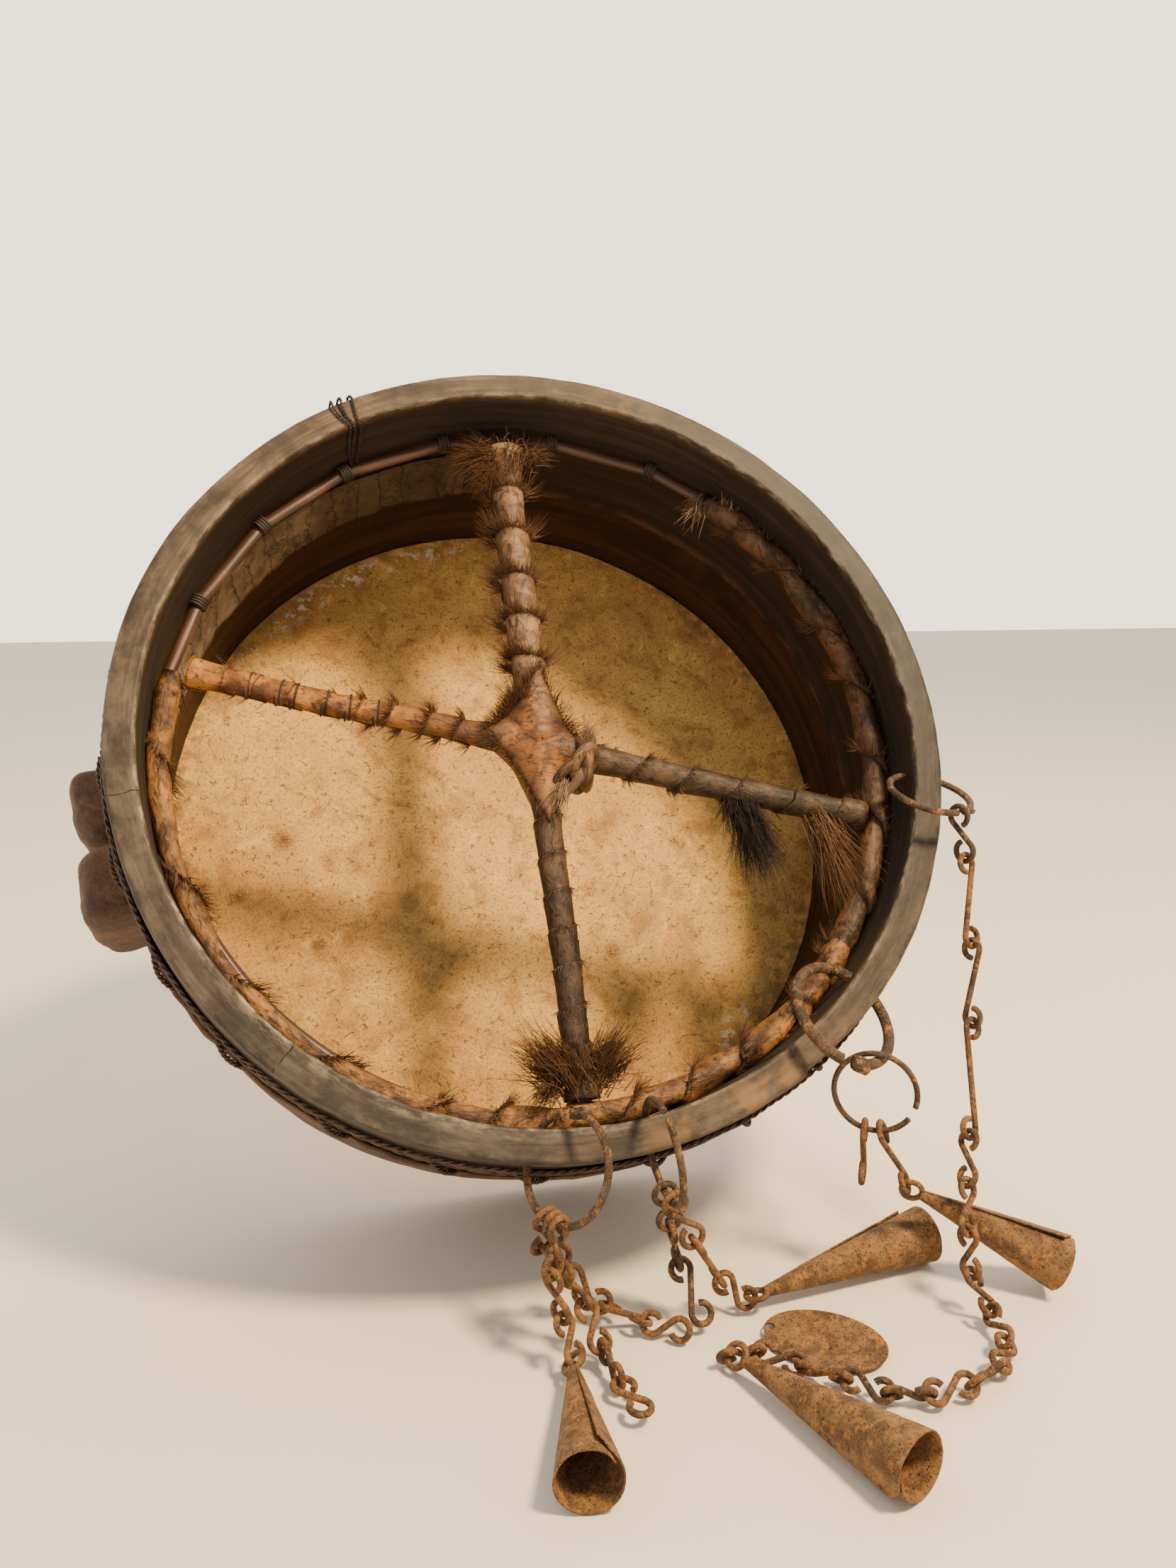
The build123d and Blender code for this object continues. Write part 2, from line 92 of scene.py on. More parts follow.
def polar(angle, r, h=0.0):
    """Drum coordinates, in mm, of a point at an angle in degrees."""
    a = np.radians(angle)
    return xyz(r * np.cos(a), r * np.sin(a), h)


def unit(v):
    v = np.asarray(v, float)
    return v / np.maximum(np.linalg.norm(v, axis=-1, keepdims=True), 1e-12)


def xyz(a, b, c):
    """Stacks three values that broadcast into points."""
    return np.stack(np.broadcast_arrays(a, b, c), -1)


def spin(turn, side, over):
    """The unit circle's points, turned from side towards over."""
    return side * np.cos(turn)[..., None] + over * np.sin(turn)[..., None]


def folded(front, back=None):
    """A front grid followed by a back grid in reverse, so that they close."""
    return np.concatenate([front, (front if back is None else back)[:, ::-1]], 1)


# ---------------------------------------------------------------- noise
def lattice(cell, seed):
    """A fixed pseudo-random value from -1 to 1 for each integer cell."""
    mask = np.uint64(0xFFFFFFFF)
    c = (cell & 0xFFFFFFFF).astype(np.uint64)
    n = (c[..., 0] * np.uint64(73856093)) ^ (c[..., 1] * np.uint64(19349663))
    n = (n ^ (c[..., 2] * np.uint64(83492791)) ^ np.uint64(seed * 2654435761 % 2**32)) & mask
    n = ((n ^ (n >> np.uint64(15))) * np.uint64(2246822519)) & mask
    n = ((n ^ (n >> np.uint64(13))) * np.uint64(3266489917)) & mask
    return (n ^ (n >> np.uint64(16))).astype(float) / 2**31 - 1


def noise(points, size, seed=0, octaves=3):
    """Smooth noise from about -1 to 1 whose largest features are about size mm."""
    total, gain, weight = 0.0, 1.0, 0.0
    for octave in range(octaves):
        q = np.asarray(points, float) * (2**octave / size) + 517.3
        cell = np.floor(q).astype(np.int64)
        f = q - cell
        f = f * f * (3 - 2 * f)
        value = 0.0
        for corner in product((0, 1), repeat=3):
            share = np.prod(np.where(np.array(corner, bool), f, 1 - f), -1)
            value = value + share * lattice(cell + np.array(corner), seed + octave)
        total, weight, gain = total + gain * value, weight + gain, gain * 0.5
    return total / weight


def bell(x, centre, width):
    return np.exp(-(((x - centre) / width) ** 2))


def around(theta, centre, width):
    """A bell in degrees that closes on itself round the rim."""
    return bell((theta - centre + 180) % 360, 180, width)


def ease(x, low, high):
    t = np.clip((x - low) / (high - low), 0, 1)
    return t * t * (3 - 2 * t)


# ---------------------------------------------------------------- meshes
class Shape:
    """Gathers grids and tubes into one mesh, with named values at each point."""

    def __init__(self):
        self.points, self.faces, self.values, self.count = [], [], {}, 0

    def add(self, points, faces, **values):
        """points are drum coordinates in mm; faces index this call's points."""
        points = np.asarray(points, float).reshape(-1, 3)
        for key in set(self.values) | set(values):
            wide = 3 if key == "flow" else 1
            given = values.get(key, 0.0)
            filled = np.zeros((len(points), wide))
            filled[:] = np.asarray(given, float).reshape(-1, wide)
            self.values.setdefault(key, [np.zeros((self.count, wide))]).append(filled)
        self.faces += [[i + self.count for i in face] for face in faces]
        self.points.append(points)
        self.count += len(points)
        return self

    def grid(self, points, closed_rows=False, closed_cols=False, **values):
        rows, cols = np.shape(points)[:2]
        i = np.arange(rows if closed_rows else rows - 1)[:, None]
        j = np.arange(cols if closed_cols else cols - 1)[None, :]
        up, side = (i + 1) % rows * cols, (j + 1) % cols
        corners = [i * cols + j, i * cols + side, up + side, up + j]
        faces = np.stack(np.broadcast_arrays(*corners), -1).reshape(-1, 4)
        return self.add(points, faces.tolist(), **values)

    def tube(self, path, radius, sides=8, flat=1.0, up=(0, 0, 1), **values):
        """A closed tube along path; radius may vary, flat squeezes it along up."""
        path = np.asarray(path, float)
        way = unit(np.gradient(path, axis=0))
        side = unit(np.cross(way, np.asarray(up, float)))
        over = np.cross(side, way)
        turn = np.arange(sides) * tau / sides
        radius = np.broadcast_to(np.asarray(radius, float), len(path))[:, None, None]
        ring = side[:, None] * np.cos(turn)[None, :, None]
        ring = ring + over[:, None] * np.sin(turn)[None, :, None] * flat
        rows = path[:, None] + ring * radius
        first, last = self.count, self.count + (len(path) - 1) * sides
        run = np.r_[0, np.cumsum(np.linalg.norm(np.diff(path, axis=0), axis=1))]
        flow = xyz(run[:, None], turn[None] * radius[:, :, 0], 0.0)
        self.grid(rows, closed_cols=True, flow=flow / 1000, **values)
        self.faces += [list(range(first, first + sides))[::-1], list(range(last, last + sides))]
        return self

    def hairs(self, roots, ways, lengths, droop, thick=0.27, steps=5):
        """Fine tapering hairs from roots along ways, bending towards droop."""
        roots, ways = np.asarray(roots, float), unit(ways)
        s = np.linspace(0, 1, steps)[None, :, None]
        lengths = np.broadcast_to(lengths, len(roots))[:, None, None]
        path = roots[:, None] + ways[:, None] * s * lengths
        path = path + np.broadcast_to(droop, roots.shape)[:, None] * s**2 * lengths
        side = unit(np.cross(ways, [0.31, 0.17, 0.93]))
        over = np.cross(ways, side)
        turn = np.arange(3) * tau / 3
        ring = side[:, None] * np.cos(turn)[:, None] + over[:, None] * np.sin(turn)[:, None]
        taper = thick * (1 - 0.85 * s[:, :, :, None])
        rows = path[:, :, None] + ring[:, None] * taper
        block = steps * 3
        quads = []
        for k, j in product(range(steps - 1), range(3)):
            n = (j + 1) % 3
            quads.append([k * 3 + j, k * 3 + n, (k + 1) * 3 + n, (k + 1) * 3 + j])
        base = (np.arange(len(roots)) * block)[:, None, None]
        faces = (np.array(quads)[None] + base).reshape(-1, 4)
        shade = np.repeat(rng.uniform(0, 1, len(roots)), block)
        return self.add(rows, faces.tolist(), shade=shade)

    def build(self, name, material, slot, body="drum", replaces=()):
        mesh = bpy.data.meshes.new(name)
        points = np.concatenate(self.points)
        points = place(points[:, 0], points[:, 1], points[:, 2])
        mesh.from_pydata(points.tolist(), [], self.faces)
        for key, parts in self.values.items():
            value = np.concatenate(parts)
            if key == "flow":
                mesh.attributes.new(key, "FLOAT_VECTOR", "POINT").data.foreach_set(
                    "vector", value.ravel().astype(np.float32))
            else:
                mesh.attributes.new(key, "FLOAT", "POINT").data.foreach_set(
                    "value", value.ravel().astype(np.float32))
        edit = bmesh.new()
        edit.from_mesh(mesh)
        bmesh.ops.recalc_face_normals(edit, faces=edit.faces)
        edit.to_mesh(mesh)
        edit.free()
        mesh.polygons.foreach_set("use_smooth", [True] * len(mesh.polygons))
        mesh.materials.append(material)
        piece = bpy.data.objects.new(name, mesh)
        bpy.context.scene.collection.objects.link(piece)
        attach(piece, body)
        if replaces:
            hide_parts(*replaces)
        return piece


# ---------------------------------------------------------------- materials
class Paint:
    """Builds one material's node tree round a Principled shader."""

    def __init__(self, name, specular=0.5, metallic=0.0):
        self.material = bpy.data.materials.new(name)
        self.material.use_nodes = True
        self.tree = self.material.node_tree
        self.shader = self.tree.nodes["Principled BSDF"]
        self.shader.inputs["Metallic"].default_value = metallic
        self.shader.inputs["Specular IOR Level"].default_value = specular

    def node(self, kind, inputs, **settings):
        made = self.tree.nodes.new("ShaderNode" + kind)
        for key, value in settings.items():
            setattr(made, key, value)
        for key, value in inputs.items():
            self.put(made.inputs[key], value)
        return made

    def put(self, socket, value):
        if isinstance(value, bpy.types.NodeSocket):
            self.tree.links.new(value, socket)
        else:
            socket.default_value = value

    def value(self, name):
        """A float stored at the mesh's points."""
        return self.node("Attribute", {}, attribute_name=name).outputs["Fac"]

    def flow(self, *stretch):
        """The mesh's own running coordinates in metres, stretched along each."""
        source = self.node("Attribute", {}, attribute_name="flow").outputs["Vector"]
        return self.stretched(source, stretch)

    def solid(self, *stretch):
        source = self.node("TexCoord", {}).outputs["Object"]
        return self.stretched(source, stretch)

    def stretched(self, source, stretch):
        if not stretch:
            return source
        scaled = self.node("VectorMath", {0: source, 1: stretch}, operation="MULTIPLY")
        return scaled.outputs[0]

    def noise(self, vector, scale, detail=4.0, rough=0.55, distort=0.0):
        made = self.node("TexNoise", {
            "Vector": vector, "Scale": scale, "Detail": detail, "Roughness": rough,
            "Distortion": distort,
        })
        return made.outputs["Fac"]

    def cells(self, vector, scale, feature="DISTANCE_TO_EDGE"):
        made = self.node("TexVoronoi", {"Vector": vector, "Scale": scale}, feature=feature)
        return made.outputs["Distance"]

    def span(self, value, low, high):
        """0 at low, 1 at high, smooth between."""
        made = self.node("MapRange", {"Value": value, "From Min": low, "From Max": high},
                         interpolation_type="SMOOTHSTEP")
        return made.outputs[0]

    def math(self, operation, a, b):
        return self.node("Math", {0: a, 1: b}, operation=operation).outputs[0]

    def times(self, a, b):
        return self.math("MULTIPLY", a, b)

    def plus(self, a, b):
        return self.math("ADD", a, b)

    def less(self, a, b):
        return self.math("SUBTRACT", a, b)

    def mix(self, share, a, b):
        made = self.node("Mix", {0: share, 6: self.colour(a), 7: self.colour(b)},
                         data_type="RGBA")
        return made.outputs[2]

    def over(self, base, mask, tint, share=1.0):
        """tint laid over base where mask is high, as far as share."""
        return self.mix(self.times(mask, share), base, tint)

    def colour(self, c):
        return c if isinstance(c, bpy.types.NodeSocket) else (*c, 1.0)

    def near(self, value, centre, width):
        """1 where value is within width of centre, 0 outside."""
        off = self.math("ABSOLUTE", self.less(value, centre), 0.5)
        return self.span(off, width, width * 0.4)

    def finish(self, colour, roughness, *bumps):
        self.put(self.shader.inputs["Base Color"], self.colour(colour))
        self.put(self.shader.inputs["Roughness"], roughness)
        normal = None
        for height, distance in bumps:
            inputs = {"Height": height, "Distance": distance, "Strength": 1.0}
            if normal:
                inputs["Normal"] = normal
            normal = self.node("Bump", inputs).outputs[0]
        if normal:
            self.put(self.shader.inputs["Normal"], normal)
        return self.material

    def range(self, value, low, high):
        """value from 0..1 to low..high."""
        made = self.node("MapRange", {"Value": value, "To Min": low, "To Max": high})
        return made.outputs[0]


def hoop_wood():
    """Smoke-dark bent wood: grey-brown rim, pale where hands wore its inner edge."""
    p = Paint("hoop_wood", 0.3)
    along = p.flow(7, 150, 150)
    grain = p.noise(along, 1.0, 5, 0.65, 0.3)
    blotch = p.noise(p.flow(0.7, 1, 1), 42, 5, 0.7)
    fine = p.noise(p.flow(0.4, 1, 1), 620, 3, 0.6)
    brown = p.mix(p.span(blotch, 0.35, 0.68), (0.04, 0.026, 0.017), (0.165, 0.108, 0.07))
    slate = p.mix(p.span(blotch, 0.35, 0.68), (0.018, 0.0145, 0.012), (0.082, 0.066, 0.053))
    colour = p.mix(p.value("slate"), brown, slate)
    across = p.noise(p.flow(60, 12, 12), 1.0, 4, 0.6, 0.2)
    colour = p.over(colour, p.span(across, 0.56, 0.74), (0.022, 0.016, 0.012), 0.45)
    colour = p.over(colour, p.span(grain, 0.58, 0.4), (0.022, 0.015, 0.011), 0.6)
    colour = p.over(colour, p.value("soot"), (0.016, 0.012, 0.009), 0.85)
    inside = p.value("inside")
    dark = p.mix(p.span(grain, 0.4, 0.7), (0.014, 0.01, 0.0075), (0.03, 0.022, 0.016))
    colour = p.mix(inside, colour, dark)
    ridge = p.times(p.value("ridge"), p.span(p.noise(p.flow(0.5, 1, 1), 90), 0.4, 0.62))
    colour = p.mix(ridge, colour, (0.095, 0.05, 0.027))
    scuff = p.span(p.noise(p.flow(0.35, 1, 1), 150, 5, 0.7), 0.44, 0.66)
    wear = p.times(p.value("wear"), scuff)
    colour = p.mix(wear, colour, (0.36, 0.29, 0.21))
    tan = p.times(p.value("tan"), p.span(p.noise(p.flow(), 60), 0.42, 0.6))
    colour = p.mix(tan, colour, (0.21, 0.115, 0.042))
    cut = p.value("cut")
    wobble = p.range(p.noise(p.flow(), 140, 3), -0.0022, 0.0022)
    arc = p.node("SeparateXYZ", {0: p.flow()}).outputs[0]
    arc = p.plus(arc, wobble)
    for angle, width in ((188.2, 0.00035), (117.6, 0.0005), (SEAM, 0.0004)):
        line = p.near(arc, radians(angle - SEAM) * 0.2215, width)
        cut = p.math("MAXIMUM", cut, p.times(line, p.value("face")))
    colour = p.mix(cut, colour, (0.012, 0.009, 0.007))
    height = p.plus(p.times(grain, 0.6), p.times(fine, 0.25))
    height = p.less(height, cut)
    rough = p.range(p.plus(blotch, inside), 0.42, 0.72)
    return p.finish(colour, rough, (height, 0.0006))


def inner_wood():
    """The recessed wall next to the head: red-brown, rubbed orange in streaks."""
    p = Paint("inner_wood", 0.2)
    grain = p.noise(p.flow(7, 90, 90), 1.0, 5, 0.6, 0.4)
    streak = p.noise(p.flow(9, 30, 6), 1.0, 4, 0.6)
    colour = p.mix(p.span(grain, 0.35, 0.65), (0.022, 0.01, 0.006), (0.062, 0.028, 0.014))
    colour = p.mix(p.span(streak, 0.52, 0.68), colour, (0.062, 0.03, 0.014))
    # painted shade: the wall is darkened next to the head and under the ridge, in its corners
    colour = p.over(colour, p.value("wear"), (0.02, 0.012, 0.009), p.span(grain, 0.4, 0.6))
    return p.finish(colour, 0.6, (grain, 0.0006))


def head_hide():
    """Thin golden rawhide with brown mottling, specks, hair flecks and scabs."""
    p = Paint("head_hide", 0.35)
    at = p.flow()
    cloud = p.noise(at, 9, 4, 0.55, 0.3)
    mottle = p.noise(at, 48, 6, 0.68, 0.4)
    speck = p.noise(at, 520, 5, 0.75, 0.2)
    grit = p.noise(at, 1300, 3, 0.6)
    colour = p.mix(p.span(cloud, 0.36, 0.66), (0.56, 0.29, 0.085), (0.76, 0.43, 0.12))
    colour = p.over(colour, p.span(mottle, 0.5, 0.64), (0.34, 0.155, 0.042), 0.72)
    colour = p.over(colour, p.span(mottle, 0.46, 0.32), (0.92, 0.58, 0.17), 0.6)
    colour = p.over(colour, p.span(speck, 0.5, 0.62), (0.25, 0.105, 0.03), 0.72)
    colour = p.over(colour, p.span(grit, 0.54, 0.64), (0.92, 0.62, 0.21), 0.55)
    brown = p.span(p.noise(at, 22, 5, 0.7, 0.6), 0.55, 0.68)
    colour = p.over(colour, brown, (0.31, 0.145, 0.045), 0.5)
    warp = p.node("TexNoise", {"Vector": at, "Scale": 60.0, "Detail": 2.0}).outputs["Color"]
    bent = p.node("VectorMath", {0: warp, 1: (0.012, 0.012, 0.0)}, operation="MULTIPLY").outputs[0]
    bent = p.node("VectorMath", {0: at, 1: bent}, operation="ADD").outputs[0]
    fleck = p.span(p.cells(bent, 170), 0.06, 0.02)
    few = p.span(p.noise(at, 190, 2), 0.57, 0.64)
    fleck = p.times(fleck, few)
    colour = p.over(colour, fleck, (0.16, 0.065, 0.02), 0.5)
    dots = p.span(p.cells(at, 62, "F1"), 0.085, 0.05)
    dots = p.times(dots, p.span(p.noise(at, 33, 1), 0.56, 0.62))
    colour = p.over(colour, dots, (0.2, 0.085, 0.022), 0.45)
    stain = p.times(p.value("stain"), p.span(p.noise(at, 30, 5, 0.7), 0.3, 0.7))
    colour = p.mix(stain, colour, (0.185, 0.098, 0.043))
    scab = p.times(p.value("scab"), p.span(p.noise(at, 420, 3), 0.36, 0.5))
    colour = p.mix(scab, colour, (0.16, 0.065, 0.025))
    # painted shade: the hide darkens towards its edge next to the hoop wall
    edge = p.times(p.value("edge"), p.span(p.noise(at, 120, 4), 0.36, 0.6))
    colour = p.mix(edge, colour, (0.1, 0.05, 0.022))
    pale = p.times(p.value("torn"), p.span(p.noise(at, 95, 5, 0.75), 0.53, 0.57))
    colour = p.mix(pale, colour, (0.86, 0.74, 0.55))
    height = p.plus(p.times(speck, 0.7), p.times(fleck, 0.9))
    height = p.plus(height, p.times(scab, 1.5))
    return p.finish(colour, p.range(mottle, 0.5, 0.75), (height, 0.0006), (mottle, 0.0014))


def flank_hide(name, light, deep, gloss=0.5):
    """Wrinkled, smoke-browned hide stretched over the outside."""
    p = Paint(name, 0.4)
    at = p.flow()
    fold = p.noise(p.flow(1.2, 1, 0.8), 95, 6, 0.7, 0.5)
    fine = p.noise(at, 340, 5, 0.65, 0.4)
    stain = p.noise(at, 16, 4, 0.6)
    colour = p.mix(p.span(stain, 0.38, 0.66), deep, light)
    colour = p.over(colour, p.span(fold, 0.5, 0.68), light, 0.7)
    colour = p.over(colour, p.span(fine, 0.56, 0.7), tuple(0.35 * c for c in deep), 0.6)
    return p.finish(colour, p.range(fine, gloss, gloss + 0.25), (fold, 0.0022), (fine, 0.0005))


def band_leather(name, light, deep, dark, gloss=0.36, centre_shade=0.0):
    """Hide wound on the handle: rubbed smooth, dark at each band's edge."""
    p = Paint(name, 0.32)
    at = p.flow()
    stain = p.noise(p.flow(1.0, 0.7, 1), 42, 5, 0.62, 0.6)
    crease = p.noise(p.flow(0.6, 1.2, 1), 240, 5, 0.65, 0.9)
    fine = p.noise(at, 900, 4, 0.6)
    colour = p.mix(p.span(stain, 0.36, 0.64), deep, light)
    colour = p.over(colour, p.span(crease, 0.5, 0.64), dark, 0.85)
    patches = p.span(p.noise(p.flow(1.0, 0.8, 1), 75, 4, 0.6, 0.4), 0.48, 0.66)
    colour = p.over(colour, patches, dark, 0.7)
    colour = p.over(colour, p.span(fine, 0.58, 0.72), light, 0.35)
    edge = p.times(p.value("edge"), p.range(p.noise(at, 160, 3), 0.5, 1.0))
    colour = p.mix(edge, colour, dark)
    # painted shade: the bands darken towards the crossing
    if centre_shade:
        run = p.node("SeparateXYZ", {0: at}).outputs[0]
        run = p.plus(run, p.range(p.noise(at, 60, 3), -0.015, 0.015))
        colour = p.over(colour, p.span(run, 0.1, 0.05), dark, centre_shade)
    colour = p.mix(p.value("pale"), colour, (0.62, 0.45, 0.25))
    return p.finish(colour, p.range(crease, gloss, gloss + 0.25), (crease, 0.0009), (fine, 0.0002))


def dry_liner():
    """Grey dried hide with cross cracks."""
    p = Paint("dry_liner", 0.3)
    at = p.flow()
    stain = p.noise(at, 40, 5, 0.65)
    warp = p.noise(at, 130, 3)
    across = p.node("VectorMath", {0: p.flow(55, 9, 9), 1: warp}, operation="ADD").outputs[0]
    crack = p.span(p.cells(across, 1.0), 0.035, 0.008)
    colour = p.mix(p.span(stain, 0.34, 0.64), (0.12, 0.09, 0.062), (0.3, 0.24, 0.165))
    # painted shade: the strip darkens towards the top of the inner wall
    colour = p.mix(p.value("dim"), colour, (0.045, 0.03, 0.02))
    colour = p.over(colour, crack, (0.035, 0.025, 0.018), 0.55)
    colour = p.over(colour, p.value("edge"), (0.05, 0.032, 0.02), 0.7)
    height = p.less(stain, crack)
    return p.finish(colour, 0.72, (height, 0.0012), (p.noise(at, 600, 3), 0.0003))


def cane():
    p = Paint("cane", 0.5)
    fibre = p.noise(p.flow(3, 260, 1), 1.0, 4, 0.6)
    stain = p.noise(p.flow(), 30, 3)
    colour = p.mix(p.span(stain, 0.38, 0.62), (0.04, 0.016, 0.011), (0.11, 0.043, 0.024))
    colour = p.mix(p.span(fibre, 0.6, 0.4), colour, (0.045, 0.02, 0.014))
    return p.finish(colour, 0.42, (fibre, 0.0004))


def twisted_cord(name, light, deep):
    p = Paint(name, 0.35)
    fibre = p.noise(p.flow(180, 900, 1), 1.0, 4, 0.6)
    colour = p.mix(p.span(fibre, 0.36, 0.66), deep, light)
    return p.finish(colour, 0.62, (fibre, 0.0004))


def hair(name, light, deep):
    p = Paint(name, 0.2)
    colour = p.mix(p.value("shade"), deep, light)
    return p.finish(colour, 0.6)


def rusty_iron(name, fresh, deep, bare):
    """Hand-forged iron: dull brown scale, grainy ochre bloom, bare metal where it rubs."""
    p = Paint(name, 0.3, 0.08)
    at = p.solid()
    scale = p.noise(at, 70, 5, 0.7, 0.4)
    bloom = p.noise(at, 170, 6, 0.75, 0.3)
    grit = p.noise(at, 1500, 4, 0.7)
    coarse = p.noise(at, 620, 4, 0.7)
    pit = p.span(p.cells(at, 520, "F1"), 0.3, 0.1)
    colour = p.mix(p.span(scale, 0.4, 0.62), deep, fresh)
    colour = p.over(colour, p.span(bloom, 0.5, 0.62), (0.38, 0.17, 0.045), 0.75)
    colour = p.over(colour, p.span(coarse, 0.5, 0.64), tuple(0.7 * c for c in deep), 0.7)
    colour = p.over(colour, p.span(grit, 0.55, 0.68), bare, 0.6)
    colour = p.over(colour, pit, (0.03, 0.016, 0.01), 0.6)
    height = p.less(p.plus(grit, coarse), pit)
    rough = p.range(p.span(bloom, 0.4, 0.7), 0.62, 0.92)
    return p.finish(colour, rough, (height, 0.0006), (scale, 0.001))


HOOP_WOOD = hoop_wood()
INNER_WOOD = inner_wood()
HEAD_HIDE = head_hide()
FLANK_HIDE = flank_hide("flank_hide", (0.185, 0.088, 0.042), (0.062, 0.03, 0.018))
BLOCK_HIDE = flank_hide("block_hide", (0.15, 0.07, 0.03), (0.05, 0.023, 0.012), 0.5)
LINER = dry_liner()
CANE = cane()
DARK_CORD = twisted_cord("dark_cord", (0.05, 0.036, 0.028), (0.014, 0.01, 0.008))
THONG = twisted_cord("thong", (0.085, 0.052, 0.034), (0.02, 0.012, 0.009))
LEATHER_TOP = band_leather(
    "leather_top", (0.33, 0.19, 0.092), (0.12, 0.062, 0.029), (0.03, 0.015, 0.009), centre_shade=0.35)
LEATHER_TAN = band_leather(
    "leather_tan", (0.56, 0.235, 0.048), (0.17, 0.062, 0.015), (0.036, 0.015, 0.008), centre_shade=0.75)
LEATHER_DARK = band_leather(
    "leather_dark", (0.09, 0.048, 0.024), (0.028, 0.016, 0.009), (0.009, 0.006, 0.004))
LEATHER_RING = band_leather(
    "leather_ring", (0.36, 0.16, 0.044), (0.08, 0.034, 0.013), (0.016, 0.008, 0.005))
LEATHER_RING_DARK = band_leather(
    "leather_ring_dark", (0.14, 0.062, 0.026), (0.032, 0.016, 0.009), (0.01, 0.006, 0.004))
LEATHER_PATCH = band_leather(
    "leather_patch", (0.34, 0.13, 0.028), (0.085, 0.034, 0.012), (0.02, 0.01, 0.006), 0.26)
HAIR_BROWN = hair("hair_brown", (0.17, 0.08, 0.036), (0.024, 0.012, 0.007))
HAIR_BLACK = hair("hair_black", (0.022, 0.013, 0.009), (0.006, 0.004, 0.003))
HAIR_PALE = hair("hair_pale", (0.4, 0.27, 0.15), (0.1, 0.055, 0.028))
WIRE_IRON = rusty_iron("wire_iron", (0.23, 0.105, 0.04), (0.07, 0.036, 0.02), (0.24, 0.16, 0.1))
DARK_IRON = rusty_iron("dark_iron", (0.11, 0.06, 0.034), (0.04, 0.027, 0.02), (0.24, 0.2, 0.16))
SHEET_IRON = rusty_iron(
    "sheet_iron", (0.24, 0.125, 0.05), (0.095, 0.048, 0.022), (0.34, 0.19, 0.08))


# ---------------------------------------------------------------- the wooden hoop
def turned(theta, r, h, **values):
    """A grid swept round the drum's axis from r and h, one row an angle."""
    theta, r, h = np.broadcast_arrays(theta, r, h)
    arc = np.radians(theta - SEAM) * WALL_MID
    flow = np.stack([arc, r, h], -1) / 1000
    return polar(theta, r, h), dict(flow=flow, **values)


def angles(steps):
    return (SEAM + np.arange(steps + 1) * 360 / steps)[:, None]


def round_profile(corners, fine):
    """A closed outline in (r, h): straight runs cut into pieces about fine mm long."""
    line = []
    for (r0, h0), (r1, h1) in zip(corners, corners[1:] + corners[:1]):
        pieces = max(1, round(((r1 - r0) ** 2 + (h1 - h0) ** 2) ** 0.5 / fine))
        share = np.arange(pieces)[:, None] / pieces
        line.append(np.array([[r0, h0]]) * (1 - share) + np.array([[r1, h1]]) * share)
    return np.concatenate(line)


def corner(r, h, radius, start):
    """Points of a quarter round, for an outline's corner."""
    turns = np.radians(start + np.arange(7) * 15)
    return [(r + radius * cos(t), h + radius * sin(t)) for t in turns]


def make_hoop():
    """The bent hoop: hand-cut, a little wavy, with a lap joint at the lower right."""
    outline = corner(RIM_OUT - 2.6, -2.6, 2.6, 0) + corner(RIM_IN + 1.8, -1.8, 1.8, 90)
    outline += corner(RIM_IN + 2.0, RIDGE_H + 2.0, 2.0, 180) + [(RIM_OUT, RIDGE_H)]
    profile = round_profile([tuple(c) for c in outline], 2.5)
    theta = angles(900)
    r, h = profile[:, 0][None], profile[:, 1][None]
    near_rim = ease(h, -24, -6)
    outer = ease(r, 219, 227)
    ring = polar(theta, RIM_OUT, 0.0)
    wave = noise(ring, 85, 3, 2)
    chop = noise(ring, 17, 5, 2)
    side_in = 1 - outer
    moved = outer * near_rim * (1.3 * wave + 0.4 * chop - 0.4)
    lap = ease(theta, -60.4, -59.8) * ease(theta, -44, -56)
    moved = moved - 1.7 * lap * outer * near_rim
    inner_wave = noise(ring, 60, 11, 3)
    moved = moved + side_in * (0.9 * inner_wave + 0.3 * noise(polar(theta, r, h), 14, 12, 2))
    lift = near_rim * (0.7 * noise(ring, 120, 8, 3) + 0.25 * noise(polar(theta, r, h), 9, 9, 2))
    face = ease(h, -3.2, -0.8)
    inside = ease(-h, 1.5, 7.0) * (r < 222)
    wear = (0.45 + 0.5 * around(theta, -130, 60)) * bell(r, RIM_IN + 0.4, 1.1) * ease(h, -5, -1)
    wear = wear + 0.16 * face * bell(r, RIM_OUT - 1.5, 1.2)
    wear = wear + 0.03 * face + 0 * theta
    wear = wear + 0.4 * face * around(theta, -118, 30) * bell(r, RIM_IN + 3, 2.6)
    slate = np.maximum(around(theta, -115, 60), around(theta, 12, 58))
    slate = slate + 0.3 * around(theta, 178, 30) + 0 * r
    tan = 0.8 * face * around(theta, -70, 15) * bell(r, 223, 7) + 0.4 * face * bell(theta, 72, 5)
    tan = tan + 0.6 * bell(h, -14, 10) * outer * bell(theta, -150, 9)
    ridge = bell(h, RIDGE_H, 7) * (r < 222) + 0 * theta
    scarf = bell(r, 223.0 + 0.3 * chop, 0.55) * face
    scarf = scarf * ease(theta, -84, -83) * ease(theta, LAP + 0.5, LAP - 0.5)
    tip = bell(theta, LAP, 0.22) * outer * ease(h, -60, -58)
    cut = np.clip(scarf + tip, 0, 1)
    soot = around(theta, 14, 52) + 0 * r
    grid, values = turned(
        theta, r + moved, h + lift, inside=inside + 0 * theta, wear=wear, tan=tan, ridge=ridge,
        cut=cut, slate=slate, soot=soot, face=face + 0 * theta)
    shape = Shape().grid(grid, closed_cols=True, **values)
    shape.build("rear_hoop_wood", HOOP_WOOD, "hoop_wood", replaces=("rear_hoop", "hoop_lap_end"))


